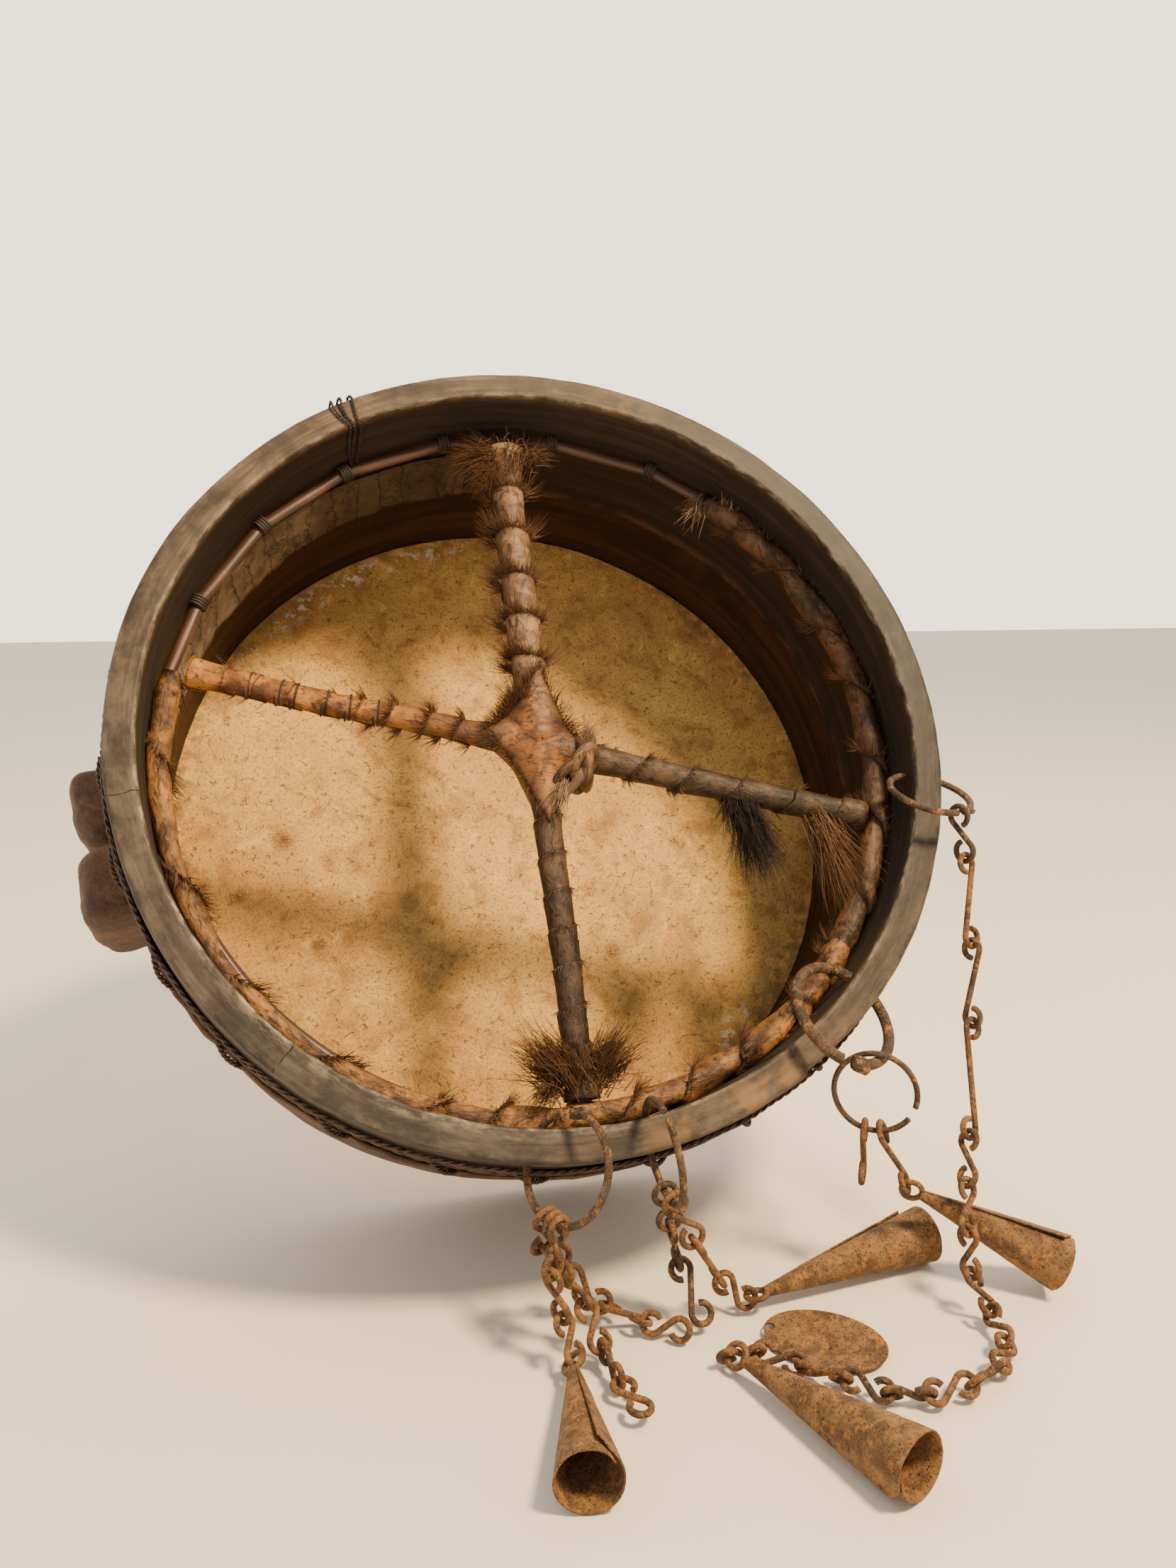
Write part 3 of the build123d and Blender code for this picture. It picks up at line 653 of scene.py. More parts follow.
def make_head_hoop():
    outside, end = RIM_OUT - 0.1, HEAD_H + 0.1
    outline = [(HEAD_HOOP_IN, RIDGE_H), (outside, RIDGE_H), (outside, end), (HEAD_HOOP_IN, end)]
    profile = round_profile(outline, 4.0)
    theta = angles(480)
    r, h = profile[:, 0][None], profile[:, 1][None]
    inner = (r < 219) * 1.0
    ring = polar(theta, HEAD_HOOP_IN, h)
    bumps = inner * (1.1 * noise(ring, 70, 21, 3) + 0.25 * noise(ring, 9, 22, 2))
    # painted shade: the wall is darkened in its corners, next to the head and under the ridge
    wear = inner * np.maximum(bell(h, HEAD_H, 8), bell(h, RIDGE_H, 6)) + 0 * theta
    grid, values = turned(theta, r + bumps, h, wear=wear)
    Shape().grid(grid, closed_cols=True, **values).build(
        "head_hoop_wood", INNER_WOOD, "inner_wood", replaces=("head_hoop",))
    make_ridge_fray()


def make_ridge_fray():
    """Short fibres that stand along the ridge between the two hoops."""
    count = 900
    theta = rng.uniform(-60, 190, count)
    roots = polar(theta, 213.4, RIDGE_H + rng.uniform(-1, 4, count))
    ways = -polar(theta, 1.0, 0.0) * 0.5 + rng.normal(0, 0.45, (count, 3))
    ways[:, 2] -= 0.7
    Shape().hairs(roots, ways, rng.uniform(1.5, 5.0, count), (0, -0.2, -0.2), 0.13).build(
        "ridge_fray", HAIR_BROWN, "inner_wood")


# ---------------------------------------------------------------- the hide
SCABS = ((-148.0, -8.0, 6.0), (-176.0, -44.0, 5.0), (-128.0, -78.0, 4.0), (60.0, -96.0, 4.0))


def make_head():
    """The drum head, seen from behind: thin hide with shallow waves and stains."""
    r = np.r_[np.linspace(0.5, 190, 46), np.linspace(193, 228.6, 16)][None]
    theta = angles(480)
    spread = polar(theta, r, 0.0)
    u, w = spread[..., 0], spread[..., 1]
    low = noise(spread, 110, 31, 2)
    front = HEAD_H + 0.2 + 0.5 * low * ease(r, 215, 190) + 0.15 * noise(spread, 12, 33, 2)
    back = HEAD_H - HEAD_T + 2.2 * ease(r, 212, 228.6) ** 2 + 0.25 * low
    # painted shade of the hoop along the head's edge, heavier at the lower left
    edge = ease(r, 196, 213) * (0.55 + 0.45 * noise(spread, 40, 35, 3)) + 0 * theta
    left_low = bell(np.mod(theta, 360), 225, 45)
    edge = edge * (0.75 + 0.6 * left_low)
    stain = 0.45 * ease(noise(spread, 95, 36, 3), 0.15, 0.6)
    stain = stain + 0.5 * bell(r, 200, 30) * ease(noise(spread, 60, 38, 3), -0.1, 0.4)
    scab = 0.0
    for su, sw, size in SCABS:
        scab = scab + np.exp(-((u - su) ** 2 + (w - sw) ** 2) / size**2)
    torn = bell(r, 207, 6) * bell(np.mod(theta, 360), 118, 26)
    torn = torn + 0.7 * bell(r, 203, 7) * bell(theta, -48, 8)
    flow = spread / 1000
    values = dict(flow=flow, edge=edge, stain=stain, scab=scab, torn=torn)
    face = xyz(u, w, front)
    both = {key: folded(v) for key, v in values.items()}
    Shape().grid(folded(face, xyz(u, w, back)), closed_cols=True, **both).build(
        "hide_head", HEAD_HIDE, "hide", replaces=("drum_hide",))


def make_flank():
    """The hide turned over the outside of the hoop, puckered towards its edge."""
    t = np.linspace(0, 1, 46)[None]
    theta = angles(900)
    h = HEAD_H - 1.2 + t * (LIP_H - HEAD_H + 1.2)
    ring = polar(theta, HIDE_R, h * 0.35)
    pleat = noise(polar(theta, HIDE_R, h * 0.22), 15, 41, 3)
    swell = noise(ring, 60, 43, 3)
    rise = ease(t, 0.72, 0.98)
    out = 1.2 + 1.0 * swell + (0.5 + 1.2 * rise) * pleat + 3.6 * rise
    round_off = np.sqrt(np.clip(1 - ((t - 0.03) / 0.03) ** 2, 0, 1)) * (t < 0.03) + (t >= 0.03)
    r = 230.4 + np.maximum(out, 0.3) - 3.0 * (1 - round_off)
    around_edge = polar(theta, HIDE_R, 0.0)
    torn = 2.6 * noise(around_edge, 20, 45, 3) + 1.2 * noise(around_edge, 5, 46, 2)
    h = h + rise * torn
    r_in, h_in = np.broadcast_arrays(np.minimum(r - 0.7, 230.2 + 3.2 * rise), h)
    grid_out, values = turned(theta, r, h)
    grid_in, values_in = turned(theta, r_in, h_in)
    flow = folded(values["flow"], values_in["flow"])[..., [0, 2, 1]]
    Shape().grid(folded(grid_out, grid_in), closed_cols=True, flow=flow).build(
        "hide_flank", FLANK_HIDE, "hide", replaces=("drum_hide",))


# angle round the rim, height over the hoop, half width, half length, middle depth
LUMPS = {
    "resonator_cover_upper": (183.4, 27.0, 18.0, 44.0, 96.0),
    "resonator_cover_lower": (194.4, 30.0, 21.5, 47.0, 98.0),
    "resonator_cover_tip": (176.2, 11.0, 9.0, 26.0, 88.0),
}


def make_blocks():
    """Wooden lumps on the flank under tight hide, with a dark fold between them."""
    def power(x, n):
        return np.sign(x) * np.abs(x) ** n

    for number, (name, (angle, proud, half, length, depth)) in enumerate(LUMPS.items()):
        a = np.linspace(-pi / 2, pi / 2, 61)[:, None]
        b = np.linspace(-pi / 2, pi / 2, 61)[None]
        side = half * power(np.cos(b), 0.14) * power(np.sin(a), 0.52)
        out = (proud + 5) * power(np.cos(b), 0.2) * power(np.cos(a), 0.3)
        axial = length * power(np.sin(b), 0.85) + 0 * a
        lump = xyz(out, side, axial)
        seed = 51 + 7 * number
        lump = lump * (1 + 0.05 * noise(lump, 24, seed, 3))[..., None]
        lump[..., 0] += (out > 4) * 1.3 * noise(lump * [1, 1, 0.35], 9, seed + 3, 3)
        slope = 0.14 * lump[..., 1] if number == 1 else -0.1 * lump[..., 1]
        lump[..., 0] += slope * (out > 4)
        turn = radians(angle)
        base = RIM_OUT - 5
        u = (base + lump[..., 0]) * cos(turn) - lump[..., 1] * sin(turn)
        w = (base + lump[..., 0]) * sin(turn) + lump[..., 1] * cos(turn)
        points = np.stack([u, w, lump[..., 2] - depth], -1)
        stands_for = [name.replace("cover", "block")] if number < 2 else ["drum_hide"]
        Shape().grid(points, flow=lump[..., [2, 1, 0]] / 1000).build(
            name, BLOCK_HIDE, "block_hide", replaces=stands_for)


def strand(shape, path, radius, pitch, plies=2, sides=7):
    """Twists plies of cord round a path."""
    path = np.asarray(path, float)
    way = unit(np.gradient(path, axis=0))
    side = unit(np.cross(way, [0.02, 0.03, 1.0]))
    over = np.cross(side, way)
    run = np.r_[0, np.cumsum(np.linalg.norm(np.diff(path, axis=0), axis=1))]
    for ply in range(plies):
        turn = (run / pitch + ply / plies)[:, None] * tau
        line = path + (side * np.cos(turn) + over * np.sin(turn)) * radius * 0.5
        shape.tube(line, radius * 0.56, sides, up=(0.02, 0.03, 1.0))


def make_lacing():
    """Twisted cord that draws the hide's edge up behind the rim."""
    shape = Shape()
    theta = np.linspace(-180, 180, 1500)[:, None]
    ring = polar(theta, HIDE_R, 0.0)[:, 0]
    for number, depth in enumerate((22.0, 27.0, 31.0, 36.0, 41.0)):
        sway = 4.2 * noise(ring, 52, 70 + number, 3)
        lift = 232.2 + 1.3 * noise(ring, 30, 84 + number, 3)
        path = polar(theta[:, 0], lift, -depth + sway)
        strand(shape, path, 1.25, 11.0 + 3 * number, 2, 5)
    for k in range(26):
        start = -180 + k * 360 / 26 + rng.uniform(-2, 2)
        share = np.linspace(0, 1, 24)
        rise = -26 - 20 * share
        bulge = 233.6 + 2.6 * np.sin(share * pi)
        path = polar(start + share * rng.uniform(2.5, 5.0), bulge, rise)
        strand(shape, path, 1.5, 7.0, 2, 6)
    shape.build("lacing_twist", THONG, "dark_cord", replaces=("lacing_cord",))


def make_liner():
    """The strip of dried hide glued to the upper left of the inner wall."""
    theta = np.linspace(96, 176, 320)[:, None]
    t = np.linspace(0, 1, 28)[None]
    edge_near = -57 + 2.5 * noise(polar(theta, RIM_IN, 0.0), 24, 81, 3)
    edge_far = -101 + 5.0 * noise(polar(theta, RIM_IN, 0.0), 16, 82, 3)
    h = edge_near + (edge_far - edge_near) * t
    pucker = noise(xyz(theta * 3.7, h * 0.25, 0.0), 8, 83, 3)
    curl = 1.4 * ease(t, 0.85, 1.0) * np.abs(noise(polar(theta, RIM_IN, h), 14, 84))
    r = RIM_IN - 1.8 - pucker - curl
    edge = np.maximum(ease(t, 0.12, 0.0), ease(t, 0.9, 1.0)) + 0 * theta
    front, values = turned(theta, r, h)
    back, _ = turned(theta, r + 1.2, h)
    edges = folded(edge)
    # painted shade, darker towards the top of the wall
    dim = np.broadcast_to(0.8 * ease(theta, 142, 112), edges.shape)
    Shape().grid(folded(front, back), closed_cols=True, flow=folded(values["flow"]),
                 edge=edges, dim=dim).build("liner_hide", LINER, "liner", replaces=("liner_strip",))


# ---------------------------------------------------------------- wound bands
def straight_arm(angle, sway, seed):
    """A path out from the crossing: points, sideways and upward directions."""
    a = radians(angle)
    way = np.array([cos(a), sin(a), 0.0])
    side = np.array([-sin(a), cos(a), 0.0])

    def path(s):
        s = np.asarray(s, float)[..., None]
        grid = np.concatenate([s, s * 0, s * 0], -1)
        bend = sway * noise(grid, 70, seed, 2)[..., None] * ease(s, 30, 60)
        lift = sway * 0.6 * noise(grid, 60, seed + 5, 2)[..., None] * ease(s, 30, 60)
        up = np.array([0.0, 0.0, 1.0])
        centre = way * s + side * bend + up * (GRIP_H + lift)
        return centre, side + 0 * centre, up + 0 * centre, way + 0 * centre
    return path


def ring_arc(start, sway, seed, tuck):
    """A path along the tie ring from an angle in degrees, anticlockwise."""
    def path(s):
        s = np.asarray(s, float)
        theta = start + np.degrees(s / TIE_R)
        out = polar(theta, 1.0, 0.0)
        bend = sway * noise(out * TIE_R, 45, seed, 3)
        hug = tuck * bell(np.mod(theta, 360), 222, 36)
        centre = out * (TIE_R + bend + hug)[..., None]
        centre[..., 2] = GRIP_H + 0.7 * sway * noise(out * TIE_R, 38, seed + 4, 3)
        up = np.array([0.0, 0.0, 1.0]) + 0 * centre
        return centre, out, up, np.cross(up, out)
    return path


def wound_band(path, start, end, radius, pitch, step, seed, slack, lump, tilt, flip=False):
    """Hide wound on a stick: a band whose proud edge laps over the turn before.

    radius(s) is the smallest outside radius, pitch the band's advance per turn and
    step how far its edge stands proud. tilt 1 is a true spiral and 0 a row of
    sleeves; a negative one winds the other way. flip puts the proud edge at the far
    end. Returns the shape and the edge's points, outward and along directions.
    """
    across = np.array([0.0, 0.0, 0.03, 0.1, 0.22, 0.38, 0.55, 0.72, 0.88, 1.02, 1.16])[None, None]
    proud = np.array([0.0, 0.75, 1.0, 0.96, 0.8, 0.62, 0.45, 0.28, 0.12, -0.05, -0.25])[None, None]
    bands = int((end - start) / pitch) + 2
    band = np.arange(-1, bands)[:, None, None]
    turn = (np.arange(65) / 64 * tau)[None, :, None]
    far = end - start
    if flip:
        start, pitch, span = end, -pitch, -far
    else:
        span = far
    skew = tilt * (turn / tau - 0.5)
    uneven = 0.16 * noise(np.stack([band, 0 * band, 0 * band], -1) * 7.0, 5, seed + 8, 1)
    circle = xyz(np.cos(turn) * 8, np.sin(turn) * 8, band * 5 + 5 * skew)
    s = start + (band + across + skew + uneven) * pitch
    s = s + slack * 1.9 * noise(circle, 8, seed, 3) * (1 - across * 0.6)
    low, high = min(start, start + span), max(start, start + span)
    s = np.clip(s, low - 0.5, high + 0.5)
    grid = xyz(np.cos(turn) * 9, np.sin(turn) * 9, s)
    r = radius(s) + step * proud * (1 + 0.6 * noise(grid, 11, seed + 2, 2))
    r = r + 0.34 * noise(grid * [1, 1, 0.6], 5.0, seed + 3, 3) * (proud > 0.02)
    r = r + lump * noise(grid, 18, seed + 4, 3)
    centre, side, up, way = path(s)
    ring = spin(turn, side, up)
    points = centre + ring * r[..., None]
    flow = xyz(s, turn * 8.0, r) / 1000
    edge = np.broadcast_to(bell(across, 0.0, 0.06), s.shape)
    shape = Shape()
    for k in range(len(band)):
        shape.grid(points[k], flow=flow[k], edge=edge[k], pale=np.zeros(s[k].shape))
    inside = (s[:, :, 2] > low + 2) & (s[:, :, 2] < high - 2)
    return shape, points[:, :, 2][inside], ring[:, :, 2][inside], way[:, :, 2][inside]


def fringe(name, points, outward, way, count, lengths, weight, seed):
    """Hair left on a band's edge, thicker where weight is greater."""
    local = np.random.default_rng(seed)
    weight = np.maximum(weight, 0) * np.ones(len(points))
    chosen = local.choice(len(points), count, p=weight / weight.sum())
    roots = points[chosen] - outward[chosen] * 0.5
    ways = outward[chosen] * 0.8 + way[chosen] * 0.55 + local.normal(0, 0.35, (count, 3))
    long = local.uniform(*lengths, count)
    Shape().hairs(roots, ways, long, way[chosen] * 0.25).build(
        name, HAIR_BROWN, "fur_brown")


ARMS = {
    # direction, radius, swelling at the end, band pitch, edge, tilt, flip, leather, slot
    "top": (91.0, 8.9, 3.0, 29.0, 1.5, 0.22, True, LEATHER_TOP, "arm_leather"),
    "left": (165.0, 6.7, 2.2, 19.0, 0.9, -0.55, False, LEATHER_TAN, "arm_leather_tan"),
    "right": (-15.0, 7.3, 1.5, 30.0, 1.2, -0.75, False, LEATHER_DARK, "arm_leather_dark"),
    "bottom": (-89.0, 7.2, 1.6, 21.0, 1.0, 0.45, False, LEATHER_DARK, "arm_leather_dark"),
}


# piece, hairs, their lengths, where they are thick (from edge and outward), random seed
FRINGES = {
    "top": (
        ("fringe_top", 1500, (6, 17), lambda edge, out:
            0.12 + 1.6 * ease(-out[:, 0], 0.2, 0.8) + 0.5 * ease(out[:, 0], 0.6, 0.95), 5),
        ("fringe_top_short", 1500, (3, 7), lambda edge, out: ease(out[:, 2], -0.2, 0.5) + 0.1, 15),
    ),
    "left": (("fringe_left", 700, (4, 11), lambda edge, out: bell(edge[:, 0], -66, 24) + 0.03, 6),),
    "right": (("fringe_right", 380, (3, 7), lambda edge, out: bell(edge[:, 0], 70, 30) + 0.1, 7),),
    "bottom": (("fringe_bottom", 260, (2, 6), lambda edge, out: ease(out[:, 2], -0.2, 0.5), 8),),
}


def make_arms():
    """Hide wound on the four arms, with the hair that is left on it."""
    for number, (name, row) in enumerate(ARMS.items()):
        angle, radius, swell, pitch, step, tilt, flip, material, slot = row
        seed = 100 + 20 * number

        def radii(s, r=radius, g=swell):
            return r + g * ease(s, 176, 197) + 0.9 * ease(s, 46, 28)

        path = straight_arm(angle, 1.6, seed)
        shape, edge, out, way = wound_band(
            path, ARM_START - 6, ARM_END, radii, pitch, step, seed, 1.0, 0.35, tilt, flip)
        shape.build(f"handle_band_{name}", material, slot, replaces=(f"arm_wrap_{name}",))
        for title, count, lengths, weight, dice in FRINGES[name]:
            fringe(title, edge, out, way, count, lengths, weight(edge, out), dice)
        if name == "left":
            winding(path, 7.3, (163, 146, 138, 121, 108, 92))
    for stick in ("upright_stick", "cross_stick"):
        frame["nodes"][stick].data.materials.clear()
        frame["nodes"][stick].data.materials.append(CANE)


def winding(path, radius, stations):
    """Thin cord turned once round an arm at each station."""
    shape = Shape()
    for k, station in enumerate(stations):
        turn = np.linspace(0, tau * 1.15, 40)
        s = station + 2.4 * turn / tau + 0.5 * np.sin(turn + k)
        centre, side, up, _ = path(s)
        ring = spin(turn, side, up)
        shape.tube(centre + ring * (radius + 0.2), 0.6, 6, up=(0.9, 0.3, 0.2))
    shape.build("arm_winding", DARK_CORD, "dark_cord")


KNOTS = (167, 153, 136, 119, 101, 82, 64, 50)
KNOT_R = 208.3


def make_ring():
    """Cane tie ring with cord knots; hide is wound on most of it."""
    theta = np.linspace(0, 360, 721)[:-1]
    turn = np.arange(12) * tau / 12
    thick = 3.6 + 0.3 * noise(polar(theta, TIE_R, 0.0), 30, 90, 3)
    line = np.full(len(theta), TIE_R)
    for low, high in zip(KNOTS[1:], KNOTS[:-1]):
        held = (theta >= low) & (theta <= high)
        bow = np.cos(np.radians(theta - (low + high) / 2))
        line[held] = (KNOT_R * cos(radians((high - low) / 2)) / bow)[held]
    r = line[:, None] + thick[:, None] * np.cos(turn)
    h = GRIP_H + thick[:, None] * np.sin(turn) * 0.8
    flow = xyz(np.radians(theta)[:, None] * TIE_R, turn * 4, 0.0) / 1000
    Shape().grid(polar(theta[:, None], r, h), True, True, flow=flow).build(
        "cane_ring", CANE, "cane", replaces=("tie_ring",))
    wraps = (
        ("right", -39.0, 92.0, 44.0, 2.6, 2.6, LEATHER_RING_DARK),
        ("bottom", -111.0, 75.0, 36.0, 2.2, 2.3, LEATHER_RING),
        ("left", 166.0, 85.0, 62.0, 1.5, 1.5, LEATHER_RING),
    )
    for number, (name, start, size, pitch, step, lump, leather) in enumerate(wraps):
        seed = 200 + 20 * number
        length = radians(size) * TIE_R

        def taper(s, n=length, first=start):
            theta = np.mod(first + np.degrees(s / TIE_R), 360)
            ends = 1.4 * ease(s, 12, 0) + 1.4 * ease(s, n - 14, n)
            return 6.2 - 2.0 * bell(theta, 222, 36) - ends

        path = ring_arc(start, 1.3, seed, 3.2)
        shape, edge, out, way = wound_band(
            path, 0.0, length, taper, pitch, step, seed, 2.4, lump, 0.9)
        shape.build(f"ring_band_{name}", leather, "wrap_hide", replaces=(f"ring_wrap_{name}",))
        inward = -(edge[:, 0] * out[:, 0] + edge[:, 1] * out[:, 1]) / TIE_R
        weight = ease(inward, -0.4, 0.6) + 0.2
        fringe(f"ring_fringe_{name}", edge, out, way, 700, (4, 11), weight, seed + 9)
    make_knots()


def make_knots():
    """Cord wound four times round the cane at each tie, with a tail to the hoop."""
    shape = Shape()
    for angle in KNOTS[1:-1]:
        out = polar(angle, 1.0, 0.0)
        across = np.array([-sin(radians(angle)), cos(radians(angle)), 0.0])
        for k in range(4):
            turn = np.linspace(0, tau, 30)
            shift = (k - 1.5) * 1.7 + 0.5 * np.sin(turn)
            ring = spin(turn, out, np.array([0, 0, 1.0]))
            centre = out * KNOT_R + np.array([0, 0, GRIP_H])
            path = centre + ring * 4.7 + across * shift[:, None]
            shape.tube(path, 0.85, 6, up=across)
        tail = np.linspace(0, 1, 14)[:, None]
        start = out * (TIE_R + 4) + [0, 0, GRIP_H]
        end = out * 212.0 + [0, 0, GRIP_H - 11] + across * 5
        shape.tube(start + (end - start) * tail + across * np.sin(tail * 3) * 2, 0.8, 6, up=across)
    shape.build("ring_knots", DARK_CORD, "dark_cord", replaces=("ring_ties",))


# ---------------------------------------------------------------- patch, knot and hair
STAR = ((3.0, 47.0), (-31.0, 9.0), (0.0, -48.0), (27.0, -7.0))


def star_outline(turn):
    """Distance from the crossing to the patch's edge: straight between tips, a little hollow."""
    reach = np.zeros_like(turn)
    for (u0, w0), (u1, w1) in zip(STAR, STAR[1:] + STAR[:1]):
        a0, a1 = atan2(w0, u0), atan2(w1, u1)
        size = (a1 - a0) % tau
        share = ((turn - a0) % tau) / size
        cross = u0 * w1 - w0 * u1
        level = cross / ((w1 - w0) * np.cos(turn) - (u1 - u0) * np.sin(turn))
        hollow = 1 - 0.13 * np.sin(pi * np.clip(share, 0, 1))
        reach = np.where(share <= 1, level * hollow, reach)
    return reach


def make_patch():
    """A diamond of hide drawn tight over the crossing, its edges hollow between the arms."""
    steps = 160
    turn = np.arange(steps) * tau / steps
    circle = np.stack([np.cos(turn), np.sin(turn), 0 * turn], -1)
    outline = star_outline(turn) + 1.0 * noise(circle * 20, 9, 301)
    share = np.linspace(0.02, 1, 26)[None]
    u = outline[:, None] * share * np.cos(turn)[:, None]
    w = outline[:, None] * share * np.sin(turn)[:, None]
    top = np.full(u.shape, 4.5)
    for angle, radius in ((91, 11.2), (165, 9.0), (-15, 9.4), (-89, 9.8)):
        a = radians(angle)
        along = u * cos(a) + w * sin(a)
        off = -u * sin(a) + w * cos(a)
        hill = radius * np.exp(-((np.abs(off) / (radius * 1.7)) ** 2.2))
        top = np.maximum(top, hill * ease(along, -20, 6))
    top = top + 3.4 * bell(np.hypot(u, w), 0, 19)
    spread = np.stack([u, w, 0 * u], -1)
    top = top + 0.7 * noise(spread, 13, 303, 3) - 1.2 * bell(share, 1.0, 0.05)
    bottom = -0.9 * top
    front = np.stack([u, w, GRIP_H + top], -1)
    back = np.stack([u, w, GRIP_H + bottom], -1)
    edge = np.broadcast_to(0.9 * bell(share, 1.0, 0.3), u.shape)

    Shape().grid(folded(front, back), closed_rows=True, closed_cols=True,
                 flow=folded(spread / 1000), edge=folded(edge), pale=folded(0 * u)).build(
        "crossing_patch", LEATHER_PATCH, "arm_leather_tan", replaces=("centre_patch",))
    out = unit(circle + [0, 0, 0.5])
    weight = bell(turn, 2.2, 0.6) + 0.2 * bell(turn, 0.5, 0.4) + 0.03
    fringe("patch_fringe", front[:, -1], out, out * 0.2, 800, (4, 12), weight, 11)


def knot_loop(shape, centre, axis, radius, thick, lean):
    """One wobbly turn of thong round axis, tipped by lean."""
    axis = unit(axis)
    side = unit(np.cross(axis, [0.1, 0.2, 1.0]))
    over = np.cross(axis, side)
    turn = np.linspace(0, tau, 60)
    ring = spin(turn, side, over)
    path = np.array(centre) + ring * radius + axis * (lean * np.sin(turn))[:, None]
    wob = 1 + 0.22 * noise(path, 7, 320, 3)
    shape.tube(path, thick * wob, 12, flat=0.6, up=axis, edge=0.0, pale=0.0)


def make_knot():
    """The thong knot at the right of the crossing."""
    shape = Shape()
    middle = np.array([24.0, -13.0, GRIP_H + 3])
    arm = np.array([cos(radians(-15)), sin(radians(-15)), 0.0])
    knot_loop(shape, middle + [4, 1, -2], arm, 12.0, 4.9, 2.5)
    knot_loop(shape, middle + [-3, 1, -2], arm + [0.1, 0.35, 0], 12.4, 4.9, -2.5)
    knot_loop(shape, middle + [-1, -1, 8], (0.6, -0.7, 0.35), 7.6, 4.7, 1.5)
    knot_loop(shape, middle + [-8, -6, 2], (0.5, -0.9, 0.1), 9.8, 4.6, 2.0)
    share = np.linspace(0, 1, 30)[:, None]
    tail = middle + [-2, -4, 8] + share * [-13, -18, -2] + np.sin(share * 4) * [1.5, 0, 1]
    shape.tube(tail, np.linspace(4.4, 1.8, 30), 10, flat=0.5, edge=0.0, pale=0.0)
    shape.build("crossing_knot", LEATHER_TOP, "arm_leather_tan", replaces=("centre_knot",))
    g = GRIP_H
    clump("knot_hair", [
        ((10, -26, g + 9), (2, -40, g + 9), 150, 4.0, 9),
        ((24, -3, g + 9), (29, 11, g + 13), 120, 3.0, 8),
    ], HAIR_PALE, "fur_brown", 13)


def clump(name, rows, material, slot, seed, replaces=(), fan=0.22, thick=0.34):
    """Tufts of hair, each (root, tip, count, root spread, shortest length)."""
    local = np.random.default_rng(seed)
    shape = Shape()
    for root, tip, count, wide, shortest in rows:
        way = np.array(tip, float) - np.array(root, float)
        far = np.linalg.norm(way)
        roots = np.array(root) + local.normal(0, wide / 2, (count, 3)) * [1, 1, 0.6]
        ways = way / far + local.normal(0, fan, (count, 3))
        long = local.uniform(shortest, far * 1.08, count)
        bend = local.normal(0, 0.12, (count, 3)) + [0, -0.1, 0]
        shape.hairs(roots, ways, long, bend, thick, 6)
    return shape.build(name, material, slot, replaces=replaces)


def make_hair():
    """Tails and tufts at the arms' ends, the flare at the top and the wrap's collar."""
    g = GRIP_H
    clump("black_tail", [((116, -37, g), (124, -80, g + 2), 620, 7, 22),
                         ((112, -37, g), (104, -52, g + 4), 120, 7, 8)], HAIR_BLACK,
          "fur_black", 21, ("tuft_black",), 0.15, 0.34)
    clump("brown_tail", [((162, -50, g + 1), (172, -96, g + 6), 560, 8, 20)], HAIR_BROWN,
          "fur_brown", 22, ("tuft_brown",), 0.15, 0.32)
    clump("foot_hair", [
        ((-7, -184, g + 3), (-27, -164, g + 9), 480, 9, 12),
        ((12, -184, g + 3), (30, -165, g + 9), 420, 9, 10),
        ((0, -186, g + 8), (-6, -170, g + 12), 260, 12, 7),
        ((-14, -190, g + 5), (-24, -196, g + 12), 160, 6, 8),
    ], HAIR_BROWN, "fur_brown", 23, ("foot_tufts",), 0.24)
    clump("top_flare_hair", [
        ((-12, 193, g + 5), (-34, 184, g + 6), 520, 8, 12),
        ((-10, 196, g + 6), (-28, 199, g + 7), 320, 7, 12),
        ((10, 194, g + 5), (25, 198, g + 7), 220, 6, 8),
        ((-9, 186, g + 5), (-22, 170, g + 7), 300, 6, 8),
        ((0, 194, g + 9), (-4, 182, g + 12), 260, 12, 6),
    ], HAIR_BROWN, "fur_brown", 24, (), 0.26)
    clump("collar_hair", [
        ((121, 163, g + 2), (110, 150, g + 4), 70, 7, 6),
        ((137, 158, g + 5), (140, 168, g + 8), 50, 6, 5),
    ], HAIR_PALE, "fur_brown", 25, (), 0.25)
    wall_hair()


def wall_hair():
    """Loose hair along the wound ring on the right side."""
    local = np.random.default_rng(33)
    count = 420
    theta = local.uniform(-30, 52, count)
    roots = polar(theta, TIE_R + local.uniform(3, 6, count), GRIP_H + local.uniform(0, 4, count))
    ways = polar(theta, 1.0, 0.0) * 0.8 + local.normal(0, 0.5, (count, 3)) + [0, 0, 0.4]
    Shape().hairs(roots, ways, local.uniform(2, 7, count), (0, 0, 0.1)).build(
        "ring_hair_right", HAIR_BROWN, "fur_brown")


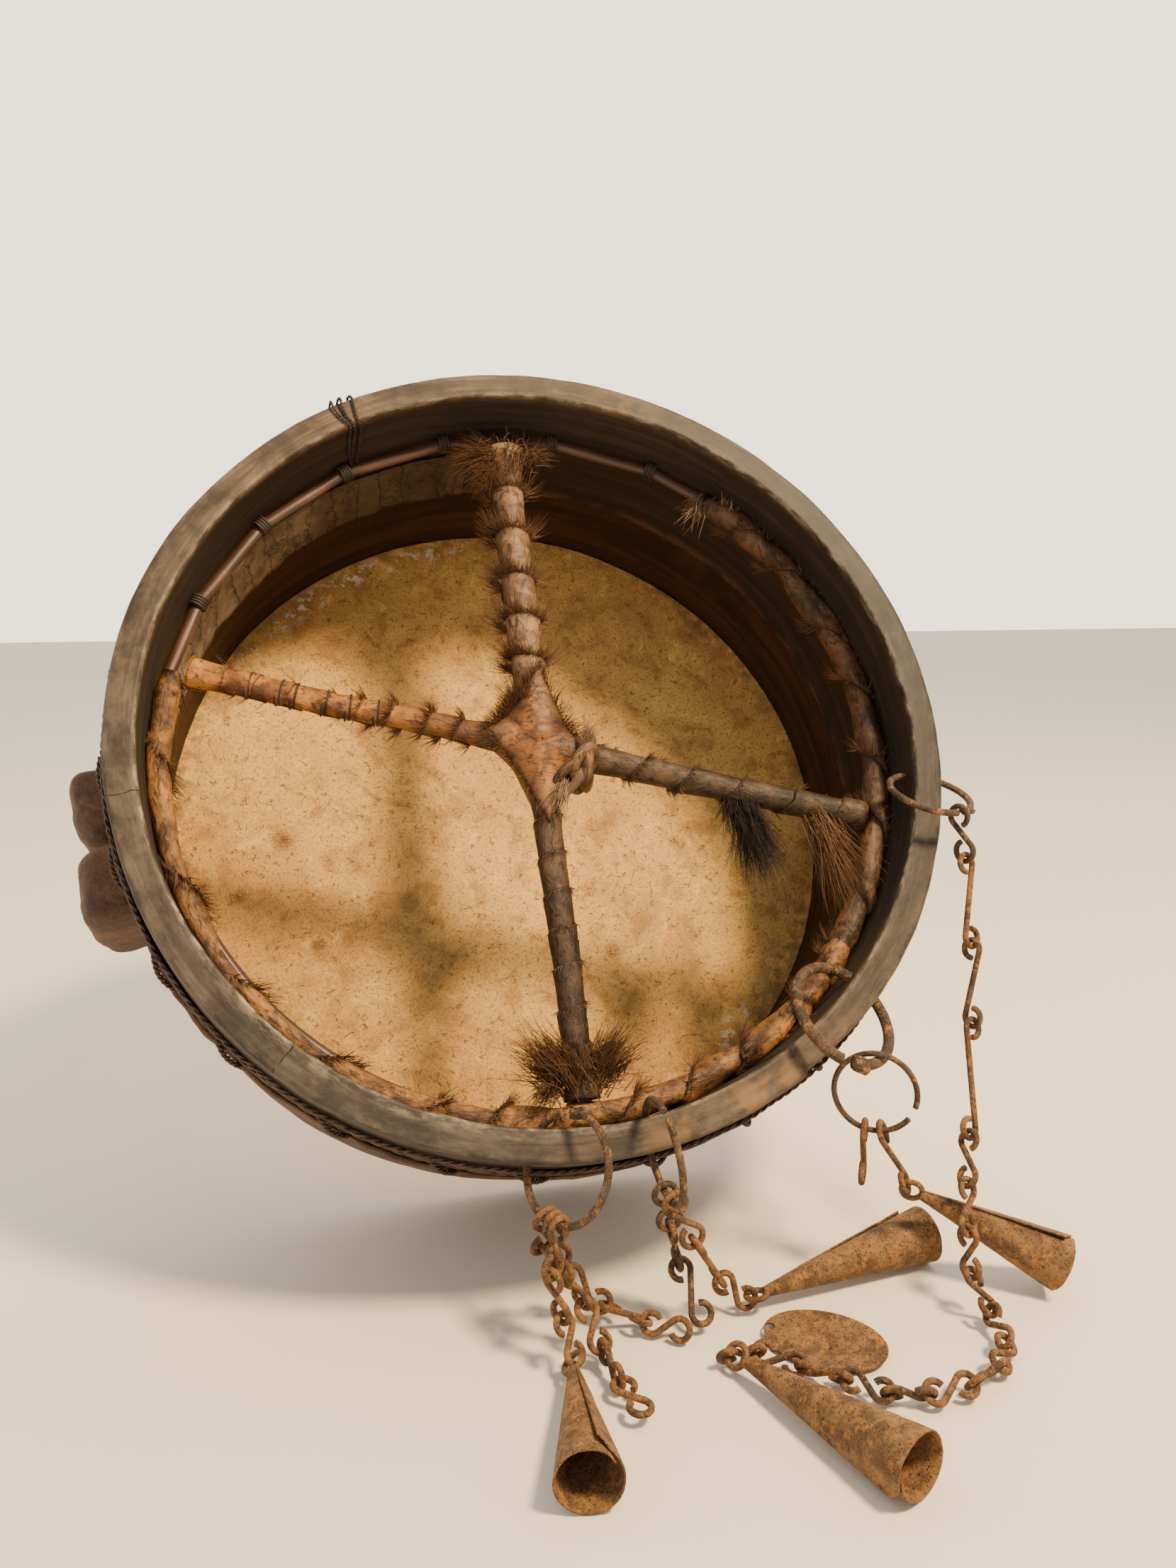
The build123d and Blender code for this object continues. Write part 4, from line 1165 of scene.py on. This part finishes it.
def make_repair():
    """Black cord over the rim that closes the crack at the top left."""
    shape = Shape()
    for k, angle in enumerate((115.4, 116.9, 118.0)):
        corners = np.array([
            (231.6, -26), (231.6, -10), (231.0, -2), (229.4, 1.2), (226, 1.5), (220, 1.4),
            (214.5, 1.3),
            (211.6, -1.0), (211.2, -8), (211.0, -20), (210.6, -34), (210.2, -44),
        ])
        share = np.linspace(0, len(corners) - 1, 90)
        r = np.interp(share, range(len(corners)), corners[:, 0])
        h = np.interp(share, range(len(corners)), corners[:, 1])
        skew = angle + (share / 11 - 0.4) * (1.6 - 1.4 * k) + 0.25 * np.sin(share * 1.3 + k)
        lift = 0.7 * bell(share, 2.6 + 0.3 * k, 1.1) * (k > 0)
        strand(shape, polar(skew, r + lift, h + lift), 0.85, 5.0, 2, 6)
    turn = np.linspace(0, tau * 2.6, 70)
    knot = xyz(np.cos(turn) * 2.6, np.sin(turn) * 2.2, np.sin(turn * 1.4) * 3)
    knot = polar(118.5, 209.6, -45.0) + knot
    shape.tube(knot, 1.0, 6, up=(0.3, 0.2, 0.9))
    shape.build("repair_twist", DARK_CORD, "dark_cord", replaces=("repair_cord",))


# ---------------------------------------------------------------- iron
# mouth centre in the row frame, mm, and the side that the open lap faces
CONES = {
    "cone_front": ((102.0, -283.0, -254.8), (-1.0, -0.6, 0.15)),
    "cone_left": ((-31.0, -260.0, -254.8), (1.0, 0.0, 0.45)),
    "cone_middle": ((188.0, -127.0, -254.8), (0.0, 1.0, -0.4)),
    "cone_right": ((243.0, -170.0, -254.8), (0.3, 0.5, 0.8)),
}
CONE_NECK, CONE_MOUTH, SHEET = 2.4, 14.1, 0.9
TIP_AT = 7.2               # the rolled sheet starts this far from the hook's bearing
LAP_START, LAP_TURN = 8, 402                # degrees round the cone that the sheet covers
HOOK_AT, HOOK_R, HOOK_WIRE = 2.7, 5.3, 1.5


def from_row(points):
    """Row-frame mm to drum coordinates; the inverse of place()."""
    x, y, z = np.moveaxis(np.asarray(points, float), -1, 0)
    out = z * sin(LEAN) - y * cos(LEAN)
    return np.stack([x, y * sin(LEAN) + z * cos(LEAN), out + GRIP_H], -1)


def make_cones():
    """Jingles rolled from sheet: the sheet laps over itself and its edges are ragged."""
    hinges = {joint["child"]: joint for joint in frame["joints"]}
    for number, (name, (mouth, seam)) in enumerate(CONES.items()):
        hinge = hinges[name]
        loop = np.array(hinge["pos_m"]) * 1000
        way = np.array(mouth) - loop
        far = np.linalg.norm(way)
        way = way / far
        side = unit(np.array(seam) - way * np.dot(seam, way))
        over = np.cross(way, side)
        t = np.linspace(0, 1, 150)[:, None]
        s = np.linspace(0, 1, 48)[None]
        turn = radians(LAP_START) + t * radians(LAP_TURN)
        sheet = xyz(t * 90, s * 85, 7.0 * number)
        dent = 0.45 * noise(sheet, 26, 400 + number, 3) + 0.12 * noise(sheet, 5, 410 + number, 2)
        r = CONE_NECK + (CONE_MOUTH - CONE_NECK) * s + (0.25 + 1.15 * s) * t
        r = r + dent * ease(s, 0, 0.3)
        r = r + 1.1 * ease(t, 0.955, 1.0) * s - 0.7 * ease(t, 0.05, 0.0) * s
        ragged = 1.4 * noise(np.stack([t * 60, 0 * t, 0 * t + number], -1), 9, 420, 3)
        corner_off = 5.0 * ease(t, 0.93, 1.0)
        along = TIP_AT + (far - TIP_AT - 0.3 + (ragged - 0.9).clip(-2, 0) - corner_off) * s

        def ring(radius):
            out = spin(turn, side, over)
            return loop + way * along[..., None] + out * radius[..., None]

        outer, inner = ring(r), ring(r - SHEET)
        shape = Shape().grid(from_row(folded(outer, inner)), closed_cols=True)
        for k in (0, -1):
            shape.grid(from_row(np.stack([outer[k], inner[k]])))
        axis = unit(np.array(hinge["axis"]))
        bend = np.cross(axis, way)
        circle = np.linspace(0, tau * 0.97, 60)
        hook = loop + way * HOOK_AT + spin(circle, way, bend) * HOOK_R
        hook = from_row(hook)
        normal = from_row(axis) - from_row(np.zeros(3))
        shape.tube(hook, HOOK_WIRE, 10, up=normal)
        shape.build("rolled_" + name, SHEET_IRON, "sheet_iron", name, replaces=(name,))


def make_iron():
    """Rust on every wire and on the disc: dark on worn links, ochre on the rest."""
    dark = ("rim_ring", "wire_ring", "right_chain_01", "right_chain_09", "middle_chain_left")
    for name, node in frame["nodes"].items():
        if name in CONES:
            continue
        if name == "oval_disc":
            metal = SHEET_IRON
        elif "chain" in name or "ring" in name and "rim" in name or name in (
                "wire_ring", "hanging_link", "cone_link"):
            metal = DARK_IRON if name.startswith(dark) else WIRE_IRON
        else:
            continue
        node.data.materials.clear()
        node.data.materials.append(metal)


# ---------------------------------------------------------------- floor, light, camera
def pale_floor():
    p = Paint("pale_floor", 0.3)
    soft = p.noise(p.solid(), 3, 3)
    colour = p.mix(soft, (0.7, 0.63, 0.53), (0.76, 0.69, 0.59))
    material = p.finish(colour, 0.75, (p.noise(p.solid(), 160, 3), 0.0002))
    mesh = bpy.data.meshes.new("floor")
    low = cad_box[0][2] - 0.0005
    corners = [(x, y, low) for x, y in ((-6, -6), (6, -6), (6, 6), (-6, 6))]
    mesh.from_pydata(corners, [], [(0, 1, 2, 3)])
    mesh.materials.append(material)
    floor = bpy.data.objects.new("floor", mesh)
    bpy.context.scene.collection.objects.link(floor)


def area_light(name, towards, distance, size, power, colour):
    data = bpy.data.lights.new(name, "AREA")
    data.size, data.energy, data.color = size, power, colour
    data.shape = "DISK"
    lamp = bpy.data.objects.new(name, data)
    way = Vector(towards).normalized()
    lamp.location = way * distance
    lamp.rotation_euler = way.to_track_quat("Z", "Y").to_euler()
    bpy.context.scene.collection.objects.link(lamp)


# name: direction it comes from, distance and width in m, watts, colour
LAMPS = {
    "key": ((0.39, -0.44, 0.81), 2.2, 0.45, 128, (1.0, 0.755, 0.42)),
    "fill": ((-0.8, -0.9, 0.35), 2.6, 2.2, 14, (1.0, 0.92, 0.80)),
    "back": ((0.2, 0.9, 0.9), 2.8, 1.8, 6, (1.0, 0.95, 0.88)),
}
WORLD_FRONT, WORLD_BACK = (1.0, 0.96, 0.90), (1.0, 0.885, 0.70)
# from and to along the row frame's y, then the values there
WORLD_POWER = (-0.2, 0.75, 0.62, 2.8)
WORLD_TINT = (0.2, 0.7, 0.0, 1.0)


def light_scene():
    for name, lamp in LAMPS.items():
        area_light(name, *lamp)
    world = bpy.data.worlds.new("studio")
    world.use_nodes = True
    nodes, links = world.node_tree.nodes, world.node_tree.links
    background = nodes["Background"]
    tint = nodes.new("ShaderNodeMix")
    tint.data_type = "RGBA"
    tint.inputs[6].default_value = (*WORLD_FRONT, 1)
    tint.inputs[7].default_value = (*WORLD_BACK, 1)
    way = nodes.new("ShaderNodeTexCoord")
    split = nodes.new("ShaderNodeSeparateXYZ")
    links.new(way.outputs["Generated"], split.inputs[0])
    for limits, target in ((WORLD_POWER, background.inputs[1]), (WORLD_TINT, tint.inputs[0])):
        fade = nodes.new("ShaderNodeMapRange")
        for socket, value in zip(fade.inputs[1:5], limits):
            socket.default_value = value
        links.new(split.outputs[1], fade.inputs[0])
        links.new(fade.outputs[0], target)
    links.new(tint.outputs[2], background.inputs[0])
    bpy.context.scene.world = world


FOCAL, PHOTO_HEIGHT = 1661, 2212           # pixels
CAMERA_AT = (-0.1234, -0.6573, 0.1000)


def place_camera():
    data = bpy.data.cameras.new("camera")
    data.sensor_fit, data.sensor_height = "VERTICAL", 36.0
    data.lens = 36.0 * FOCAL / PHOTO_HEIGHT
    camera = bpy.data.objects.new("camera", data)
    forward = Vector((0.2221, 0.9585, -0.1788)).normalized()
    up = Vector((0.0404, 0.1742, 0.9839))
    right = forward.cross(up).normalized()
    up = right.cross(forward)
    turn = Matrix((right, up, -forward)).transposed().to_4x4()
    camera.matrix_world = Matrix.Translation(CAMERA_AT) @ turn
    bpy.context.scene.collection.objects.link(camera)
    bpy.context.scene.camera = camera


make_hoop()
make_head_hoop()
make_head()
make_flank()
make_blocks()
make_lacing()
make_liner()
make_arms()
make_ring()
make_patch()
make_knot()
make_hair()
make_repair()
make_iron()
make_cones()
pale_floor()
light_scene()
place_camera()
